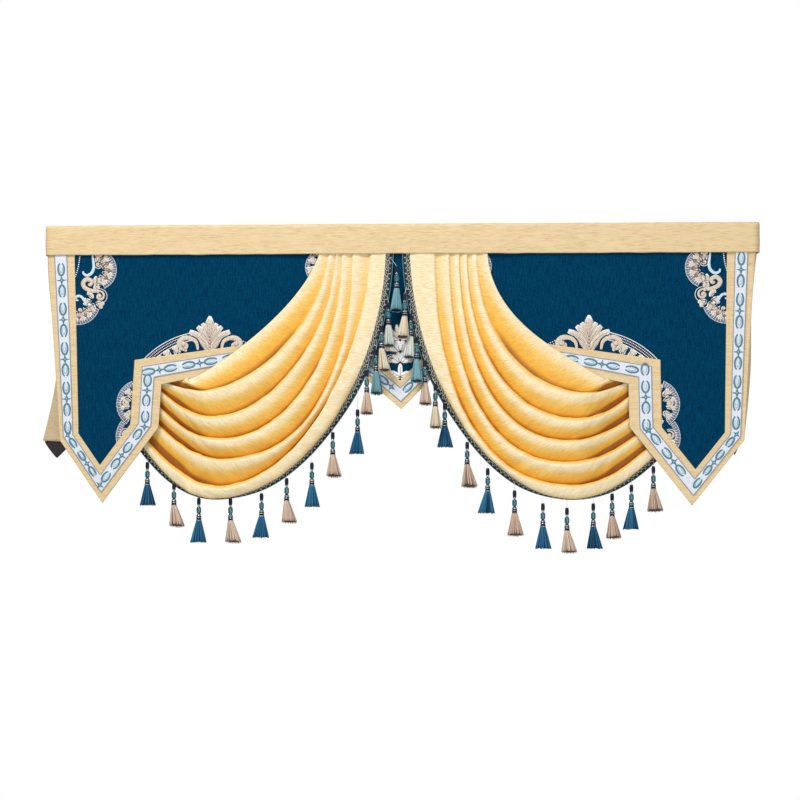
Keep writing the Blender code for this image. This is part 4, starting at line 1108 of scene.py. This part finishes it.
def swag_surface(side):
    """The swag as a grid of (out, forward, z): rows run from fold line to fold line by the fold's profile, and
    the last rows curl under. Also its tone of painted light and shade, from 0 in a shaded pocket to 1 on a lit ridge,
    and the shares down and up."""
    folds = SWAG_FOLDS[side]
    falls, rises, hidden = np.linspace(0, 1, 91), np.linspace(0, 1, 37)[1:], np.linspace(0, 1, 4)[1:]
    fall = np.concatenate([falls, np.ones(len(rises) + len(hidden))])
    rise = np.concatenate([0 * falls, rises, 1 + 0 * hidden])
    lines = [fold_line(fold, falls, rises, hidden) for fold in folds]
    stands = []
    for fold in folds:
        out = SWAG_LAYER + (fold[-1] - SWAG_LAYER) * smooth(fall)
        stands.append(out + (TUCKED_FORWARD - out) * smooth(rise))
    depth = PLEAT_DEPTH + (BELLY_DEPTH - PLEAT_DEPTH) * smooth(fall)
    depth = depth + (TUCKED_DEPTH - depth) * smooth(rise)
    near, belly, stand = (part[:, None] for part in spline(FOLD_PROFILE, 5)[:-1].T)
    row = np.arange(len(stand))[:, None]
    share = near + (belly - near) * smooth(fall)
    # Painted light and shade: a fold is lit where it stands out and painted darker where it sinks back, and darker
    # still in the pockets towards the tail; near the heading PLEAT_TONE keeps only part of this painted shade.
    lit = stand - (0.30 + 0.5 * smooth(rise * 2 - 0.7)) * (1 - stand) * smooth(rise * 1.6)
    pleat_tone = PLEAT_TONE + (1 - PLEAT_TONE) * smooth(fall * 1.7)
    rows, tones = [], []
    for number, ((out, z), (next_out, next_z)) in enumerate(zip(lines[:-2], lines[1:-1])):
        forward = stands[number] + (stands[number + 1] - stands[number]) * share
        height, painted_light_tone = z + (next_z - z) * share, lit
        if number:
            forward = forward - depth * (1 - stand)
        else:
            forward = forward - depth * FIRST_FOLD_DEPTH * np.where(row == 0, 0.0, 1 - stand)
            forward = forward + FIRST_FOLD_CROWN * smooth(fall) * (1 - rise) * np.sin(math.pi * share)
            behind = np.clip(1 - row / 3, 0, 1) * smooth((fall + rise - 0.90) / 0.30)
            height = height + TOP_RAISED * behind
            forward = forward + (TOP_BEHIND - forward) * behind
            # Painted shadow: past its lowest point the first fold is darkened towards the tail, all but its top edge
            # and its foot.
            shadow = smooth((fall + rise - 1.05) / 0.35) * smooth((share - 0.10) / 0.25) * (share < 0.93)
            painted_light_tone = lit * (1 - shadow)
        rows.append(np.stack([out + (next_out - out) * share, forward, height], axis=-1))
        tones.append(np.clip(1 - (1 - painted_light_tone) * pleat_tone, 0, 1))
    (out, z), (edge_out, edge_z) = lines[-2], lines[-1]
    curl_by = smooth((fall - CURL_STARTS) / (CURL_ENDS - CURL_STARTS))
    flat, round_share, back = (part[:, None] for part in spline(ROLL_PROFILE, 6).T)
    share = flat + (round_share - flat) * curl_by
    forward = stands[-2] + (stands[-1] - stands[-2]) * share - back * curl_by * (1 - rise / 2)
    rows.append(np.stack([out + (edge_out - out) * share, forward, z + (edge_z - z) * share], axis=-1))
    # Painted shade on the bottom roll's underside: the roll is drawn darker as it curls back.
    tones.append(1 - 0.45 * np.clip(back / ROLL_PROFILE[-1][2], 0, 1) * curl_by)
    return np.concatenate(rows), np.concatenate(tones), fall, rise


def swag_grid(side):
    """The swag's points with its crinkle: soft puckers across the folds and finer ones on them, pushed along the
    normal, fading out at the heading, behind the tail and at the trim."""
    rows, tones, fall, rise = swag_surface(side)
    grid = rows * (-1.0 if side == "left" else 1.0, -1.0, 1.0)
    normal = unit(np.cross(np.gradient(grid, axis=1), np.gradient(grid, axis=0)))
    normal = normal * np.where(normal[..., 1:2].mean() > 0, -1.0, 1.0)
    along, across = travelled(grid, 1), travelled(grid, 0)
    row = np.arange(len(grid))[:, None]
    fade = smooth((len(grid) - 1 - row) / 10) * smooth(row / 8)
    fade = fade * (0.25 + 0.75 * smooth(fall * 3)) * (1 - 0.8 * smooth(rise * 2 - 1))
    seed = 11 if side == "left" else 12
    push = sizes().pucker_depth * sum(
        strength * value_noise(along / long, across / wide, seed + shift) for strength, long, wide, shift in PUCKERS)
    return grid + normal * (push * fade)[..., None], np.stack([along, across], axis=-1), tones


def gimp_edges(side):
    """The trim beside the swag's free edge: its inner edge, the way across it and the way it faces. It is turned
    back under the roll in the belly."""
    rows, _, fall, rise = swag_surface(side)
    lap = rows[-1].copy()
    way = unit(np.gradient(lap[:, [0, 2]], axis=0))
    outward = np.stack([way[:, 1], -way[:, 0]], axis=1)
    turn = GIMP_TURN * smooth((fall - CURL_STARTS) / (CURL_ENDS - CURL_STARTS)) * (1 - GIMP_TURN_LOST * smooth(rise))
    turn = turn * (0.62 + 0.38 * smooth((fall - 0.80) / 0.18))
    lap[:, [0, 2]] -= outward * (GIMP_LAP * np.cos(turn) + GIMP_BEHIND * np.sin(turn))[:, None]
    lap[:, 1] += GIMP_LAP * np.sin(turn) - GIMP_BEHIND * np.cos(turn)
    across = np.stack([outward[:, 0] * np.cos(turn), -np.sin(turn), outward[:, 1] * np.cos(turn)], axis=-1)
    face = np.stack([outward[:, 0] * np.sin(turn), np.cos(turn), outward[:, 1] * np.sin(turn)], axis=-1)
    return tuple(part * (-1.0 if side == "left" else 1.0, -1.0, 1.0) for part in (lap, across, face))


def make_swags():
    """Each swag as one sheet of satin."""
    for side in ("left", "right"):
        made = piece(f"{side}_swag_cloth", [("crinkled_gold_satin", sheet_block(*swag_grid(side)))], SWAG_CLOTH,
                     (f"{side}_swag",))


def make_gimps():
    """The trim: a flat band with light and dark cords plaited over it in sines, and a round cord by each edge."""
    for side in ("left", "right"):
        lap, across, face = gimp_edges(side)
        run = travelled(lap)
        share = np.linspace(0, GIMP_WIDTH, 7)
        swell = 0.0006 * np.sin(math.pi * share / GIMP_WIDTH)
        band = lap + across * share[:, None, None] + face * swell[:, None, None]
        pattern = np.stack(np.broadcast_arrays(run, share[:, None]), axis=-1)
        base = piece(f"{side}_gimp_band", [("gimp_ground", sheet_block(band, pattern))], GIMP_CLOTH, (f"{side}_gimp",))
        steps = np.linspace(0, run[-1], int(run[-1] / sizes().gimp_loop * 12))
        at, over, out = (np.stack([np.interp(steps, run, column) for column in part.T], axis=-1)
                         for part in (lap, across, face))
        forth = np.gradient(at, axis=0) / np.gradient(steps)[:, None]
        phase = (2 * math.pi * steps / sizes().gimp_loop)[:, None]
        blocks = []
        for thread, place, shift, width in GIMP_PLAIT:
            sway = place + 0.0026 * np.sin(phase + shift) + 0.0007 * np.sin(phase * 0.37 + shift)
            lift = 0.0010 + 0.0013 * np.cos(phase + shift)
            looped = 0.0030 * np.cos(phase + shift) + 0.0008 * np.sin(phase * 1.62)
            path = at + over * sway + out * lift + forth * looped
            blocks.append((thread, cord_block(path[None], out[None], width, width * 0.8, 5)))
        for thread, place, width in GIMP_EDGE_CORDS:
            path = at + over * place + out * 0.0009
            blocks.append((thread, cord_block(path[None], out[None], width, width)))
        plait = piece(f"{side}_gimp_plait", blocks)


# ---- Tassels


def trim_point(side, place, by_height):
    """The point that a cord hangs from, near the trim's outer edge: at this height on its upright stretch, or
    else at this distance from the middle."""
    lap, across, _ = gimp_edges(side)
    far = lap + across * CORD_ACROSS
    key = far[:UPRIGHT_POINTS, 2] if by_height else np.abs(far[:, 0])
    order = np.argsort(key)
    return np.array([np.interp(place, key[order], column[order]) for column in far[:len(key)].T])


def tassel_blocks(root, top, yarn, skirt_height, skirt_radius, sway, seed):
    """A tassel from its thread down: a flat doubled loop, a clear bead, a long glazed bead, a head wound with cord
    and wire, and a skirt of yarns that flare from the neck, each a thin cord with a bend of its own. The blush
    skirts hang tilted, so that their open foot shows."""
    random = np.random.default_rng(seed)
    x, y, z = top
    front = (0.0, -1.0, 0.0)
    blocks = []
    if np.linalg.norm(root - top) > 0.004:
        blocks.append(("fine_thread", cord_block([[root, (root + top) / 2, top]], front, 0.0004, 0.0004)))
    share = np.linspace(0, 1, 13)
    half = np.stack([0.0012 * np.sin(math.pi * share) ** 0.7 + 0.0006, 0 * share, -0.0155 * share], axis=-1)
    blocks.append(("loop_cord", cord_block([top + half, top + half * (-1, 1, 1)], front, 0.0023, 0.0012, 8)))
    for bead, (drop, half_length, radius, power, root_power), points, sides in (
        ("clear_bead", CLEAR_BEAD, np.linspace(-0.97, 0.97, 9), 14),
        ("glazed_bead", LONG_BEAD, np.linspace(-0.98, 0.98, 13), 16),
    ):
        profile = np.stack([drop + half_length * points, radius * (1 - points**power) ** root_power], axis=1)
        blocks.append((bead, turned_block(profile, top, sides)))
    drop = np.linspace(HEAD_TOP, HEAD_FOOT, 33)
    wound = 0.00035 * np.abs(np.sin(math.pi * (drop - HEAD_TOP) / 0.0022))
    head = 0.0034 + 0.0016 * smooth((drop - HEAD_TOP - 0.0002) / 0.006) + wound
    blocks.append(("loop_cord", turned_block(np.stack([drop, head], axis=1), top, 14)))
    turn = np.linspace(0, 2 * math.pi, 17)
    for level, radius in WIRES:
        ring = top + np.stack([radius * np.cos(turn), radius * np.sin(turn), 0 * turn - level], axis=-1)
        blocks.append(("silver_wire", cord_block(ring[None], (0.0, 0.0, 1.0), 0.0006, 0.0007, 5)))
    count = sizes().strands
    tilt = BLUE_TILT if yarn == "blue" else SKIRT_TILT
    shares = np.linspace(0, 1, 7)
    for layer, (ring_share, number) in enumerate(((1.0, count), (0.80, count * 2 // 3), (0.55, count // 3))):
        angle = (np.arange(number) + random.uniform(-0.3, 0.3, number)) * 2 * math.pi / number
        flare = skirt_radius * random.uniform(0.92, 1.03, (number, 1)) - NECK_RADIUS
        spread = ring_share * (NECK_RADIUS + flare * shares**0.95)
        swing = random.uniform(-0.05, 0.05, (number, 1)) * shares + 0.02 * np.sin(shares * 5 + angle[:, None])
        turned = angle[:, None] + swing
        reach = skirt_height + random.uniform(-0.0010, 0.0010, (number, 1)) - 0.004 * layer
        fall = NECK_DROP + (reach + tilt * skirt_radius * ring_share * np.sin(turned)) * shares
        paths = np.stack([x + spread * np.cos(turned) + sway * shares, y + spread * np.sin(turned), z - fall], axis=-1)
        outward = np.stack([np.cos(turned), np.sin(turned), 0 * turned], axis=-1)
        width = (0.00055 + 0.00045 * shares) * (1.0 if layer == 0 else 1.3)
        # Strands differ in tone at random; the inner rows are also painted darker towards their ends, as painted shade
        # inside the skirt.
        tones = np.clip(random.uniform(0.10, 1.0, (number, 1)) * (1 - 0.8 * (layer > 0) * shares), 0, 1)
        blocks.append((f"{yarn}_yarn", cord_block(paths, outward, width, width * 0.8, 5, tones)))
    # The core: a cone inside the skirt in the yarn's darkest tone, painted shade in the skirt's hollow; it also keeps
    # light out.
    foot = skirt_height - 0.0015
    core = np.array([(0, 0.0040), (foot * 0.5, skirt_radius * 0.45), (foot * 0.94, skirt_radius * 0.78),
                     (foot, skirt_radius * 0.86)])
    block = turned_block(core, (x, y, z - NECK_DROP), 20, 0.0)
    down = (z - NECK_DROP - block[0][:, 2:]) / foot
    leaning = block[0] + np.concatenate([sway * down, 0 * down, -tilt * (block[0][:, 1:2] - y) * down], axis=1)
    blocks.append((f"{yarn}_yarn", (leaning, *block[1:])))
    return blocks


def make_tassels():
    """Each tassel hangs from its root on the trim. Those between the swags hang forward of it."""
    hung = [(x, top, yarn, height, radius * SKIRT_FULLNESS, sway, abs(x), None)
            for x, top, yarn, height, radius, sway in OUTER_TASSELS]
    hung += [(x, top, yarn, height, INNER_SKIRT_RADIUS, sway, place, forward)
             for place, x, top, yarn, height, sway, forward in INNER_TASSELS]
    for number, (x, top, yarn, height, radius, sway, place, forward) in enumerate(hung, 1):
        root = trim_point("left" if x < 0 else "right", place, forward is not None)
        start = (root[0], root[1], min(top, root[2])) if forward is None else (x, -forward, top)
        name = f"tassel_{number:02d}"
        blocks = tassel_blocks(root, np.array(start), yarn, height, radius, sway, number)
        piece(f"{name}_yarns", blocks, replaces=(name,))


# ---- Returns


def flap_sheet(side, name, across, height, inward):
    """A sheet on a return's flap. The flap is straight from its front edge to its back edge, and the back edge
    kicks out towards the hem. The sheet is moved inward along the flap's normal."""
    front_top, front_hem, back_top, back_hem, hem = map(np.array, RETURN_FLAPS[side])
    down = ((TUCK_TOP - height) / (TUCK_TOP - hem))[..., None]
    kick = 2 * smooth((FLAP_KICK - height) / (FLAP_KICK - hem) / 2)[..., None]
    front = front_top + (front_hem - front_top) * down
    back = back_top + (back_hem - back_top) * kick
    way = unit(back - front)
    x, y = np.moveaxis(front + (back - front) * across[..., None], -1, 0)
    x, y = x - way[..., 1] * inward, y + way[..., 0] * inward
    grid = np.stack([-x if side == "left" else x, y, height], axis=-1)
    finish_name, cloth, slot = FLAP_FINISHES[name]
    block = sheet_block(grid, np.stack([across * 0.07, height], axis=-1))
    return piece(f"{side}_{name}_cloth", [(finish_name, block)], cloth, (f"{side}_{name}",))


def make_returns():
    """Each return: a flap of border cloth with slow upright waves, and the dark lining's point below its hem."""
    for side, (*_, hem) in RETURN_FLAPS.items():
        across, height = np.meshgrid(np.linspace(0, 1, 25), np.linspace(TUCK_TOP, hem, 70))
        waves = -0.0004 * smooth((TUCK_TOP - height) / (TUCK_TOP - hem)) * np.sin(across * 9)
        made = flap_sheet(side, "return", across, height, waves)
        across, level = np.meshgrid(np.linspace(0.06, 0.94, 17), np.linspace(0, 1, 21))
        below = LINING_POINT * (1 - np.abs(across - LINING_POINT_ACROSS) / (1 - LINING_POINT_ACROSS))
        height = LINING_TOP + (hem - below - LINING_TOP) * level
        lining = flap_sheet(side, "return_lining", across, height, (FLAP_CLOTH + LINING_CLOTH) / 2 + LINING_GAP)


# ---- Stage


def make_stage():
    """A pale floor disc below the view, soft lights, a white surround and the photograph's camera."""
    scene, stage = bpy.context.scene, bpy.context.scene.collection.objects
    turn, rings = np.linspace(0, 2 * math.pi, 73)[:-1], np.linspace(0.02, 1.5, 12)[:, None]
    grid = np.stack(np.broadcast_arrays(rings * np.cos(turn), rings * np.sin(turn), FLOOR_HEIGHT), axis=-1)
    mesh = bpy.data.meshes.new("studio_floor")
    mesh.from_pydata(grid.reshape(-1, 3).tolist(), [], lattice(12, 72, True).tolist() + [list(range(72))])
    mesh.materials.append(finish("studio_floor"))
    floor = bpy.data.objects.new("studio_floor", mesh)
    stage.link(floor)
    for name, place, size, power in LIGHTS:
        light = bpy.data.lights.new(name, "AREA")
        light.shape, light.size, light.energy = "DISK", size, power
        made = bpy.data.objects.new(name, light)
        away = np.array(place) - LIGHTS_AIM
        made.location = place
        made.rotation_euler = (math.acos(away[2] / np.linalg.norm(away)), 0.0, math.atan2(away[0], -away[1]))
        stage.link(made)
    world = bpy.data.worlds.new("white_surround")
    world.use_nodes = True
    tree = world.node_tree
    tree.nodes.clear()
    seen = add(tree, "ShaderNodeBackground", None, {"Color": WHITE, "Strength": 1.0})
    lit = add(tree, "ShaderNodeBackground", None, {"Color": (0.97, 0.98, 1, 1), "Strength": 0.42})
    ray = add(tree, "ShaderNodeLightPath")
    both = add(tree, "ShaderNodeMixShader", None, None,
               {0: ray.outputs["Is Camera Ray"], 1: lit.outputs[0], 2: seen.outputs[0]})
    add(tree, "ShaderNodeOutputWorld", None, None, {"Surface": both.outputs[0]})
    scene.world = world
    scene.view_settings.view_transform, scene.view_settings.look = "Standard", "None"
    camera = bpy.data.cameras.new("photo_camera")
    camera.sensor_width = 36.0
    camera.lens = FOCAL_PIXELS / FRAME_PIXELS * camera.sensor_width
    camera.shift_x = (FRAME_PIXELS / 2 - CAMERA_MIDDLE[0]) / FRAME_PIXELS
    camera.shift_y = -(FRAME_PIXELS / 2 - CAMERA_MIDDLE[1]) / FRAME_PIXELS
    made = bpy.data.objects.new("photo_camera", camera)
    made.location = (CAMERA_AWAY * math.sin(CAMERA_SIDE), -CAMERA_AWAY * math.cos(CAMERA_SIDE), CAMERA_HEIGHT)
    made.rotation_euler = (math.pi / 2, 0.0, CAMERA_SIDE)
    stage.link(made)
    scene.camera = made


# ---- Operators and panel


class CURTAIN_OT_heading(bpy.types.Operator):
    """Makes the folded heading"""

    bl_idname, bl_label = "curtain.heading", "Heading"

    def execute(self, context):
        make_heading()
        return {"FINISHED"}


class CURTAIN_OT_embroidery(bpy.types.Operator):
    """Stitches the embroidery of the panels"""

    bl_idname, bl_label = "curtain.embroidery", "Embroidery"

    def execute(self, context):
        make_embroidery()
        return {"FINISHED"}


class CURTAIN_OT_panels(bpy.types.Operator):
    """Cuts the teal panels and the centre tail"""

    bl_idname, bl_label = "curtain.panels", "Panels"

    def execute(self, context):
        make_panels()
        return {"FINISHED"}


class CURTAIN_OT_borders(bpy.types.Operator):
    """Sews the borders and the braid on them"""

    bl_idname, bl_label = "curtain.borders", "Borders and braid"

    def execute(self, context):
        make_borders()
        return {"FINISHED"}


class CURTAIN_OT_swags(bpy.types.Operator):
    """Drapes the two swags"""

    bl_idname, bl_label = "curtain.swags", "Swags"

    def execute(self, context):
        make_swags()
        return {"FINISHED"}


class CURTAIN_OT_gimps(bpy.types.Operator):
    """Plaits the trim of the swags"""

    bl_idname, bl_label = "curtain.gimps", "Trim"

    def execute(self, context):
        make_gimps()
        return {"FINISHED"}


class CURTAIN_OT_tassels(bpy.types.Operator):
    """Ties the tassels"""

    bl_idname, bl_label = "curtain.tassels", "Tassels"

    def execute(self, context):
        make_tassels()
        return {"FINISHED"}


class CURTAIN_OT_returns(bpy.types.Operator):
    """Hangs the returns and their lining"""

    bl_idname, bl_label = "curtain.returns", "Returns"

    def execute(self, context):
        make_returns()
        return {"FINISHED"}


class CURTAIN_OT_stage(bpy.types.Operator):
    """Sets the floor, the lights and the camera"""

    bl_idname, bl_label = "curtain.stage", "Stage"

    def execute(self, context):
        make_stage()
        return {"FINISHED"}


OPERATORS = (
    CURTAIN_OT_stage, CURTAIN_OT_heading, CURTAIN_OT_embroidery, CURTAIN_OT_panels, CURTAIN_OT_borders,
    CURTAIN_OT_swags, CURTAIN_OT_gimps, CURTAIN_OT_tassels, CURTAIN_OT_returns,
)


class CURTAIN_PT_panel(bpy.types.Panel):
    """Lists the curtain's pieces, sizes and colours"""

    bl_idname, bl_label = "CURTAIN_PT_panel", "Embroidered curtain"
    bl_space_type, bl_region_type, bl_category = "VIEW_3D", "UI", "Curtain"

    def draw(self, context):
        for operator in OPERATORS:
            self.layout.operator(operator.bl_idname)
        for group in (context.scene.curtain_sizes, context.scene.curtain_colours):
            for name in group.__annotations__:
                self.layout.prop(group, name)


def register():
    for made in (CurtainSizes, CurtainColours) + OPERATORS + (CURTAIN_PT_panel,):
        bpy.utils.register_class(made)
    bpy.types.Scene.curtain_sizes = bpy.props.PointerProperty(type=CurtainSizes)
    bpy.types.Scene.curtain_colours = bpy.props.PointerProperty(type=CurtainColours)


def unregister():
    del bpy.types.Scene.curtain_sizes, bpy.types.Scene.curtain_colours
    for made in (CURTAIN_PT_panel,) + OPERATORS[::-1] + (CurtainColours, CurtainSizes):
        bpy.utils.unregister_class(made)


def main():
    register()
    for operator in OPERATORS:
        getattr(bpy.ops.curtain, operator.bl_idname.split(".")[1])()
    bpy.context.view_layer.update()


if __name__ == "__main__":
    main()
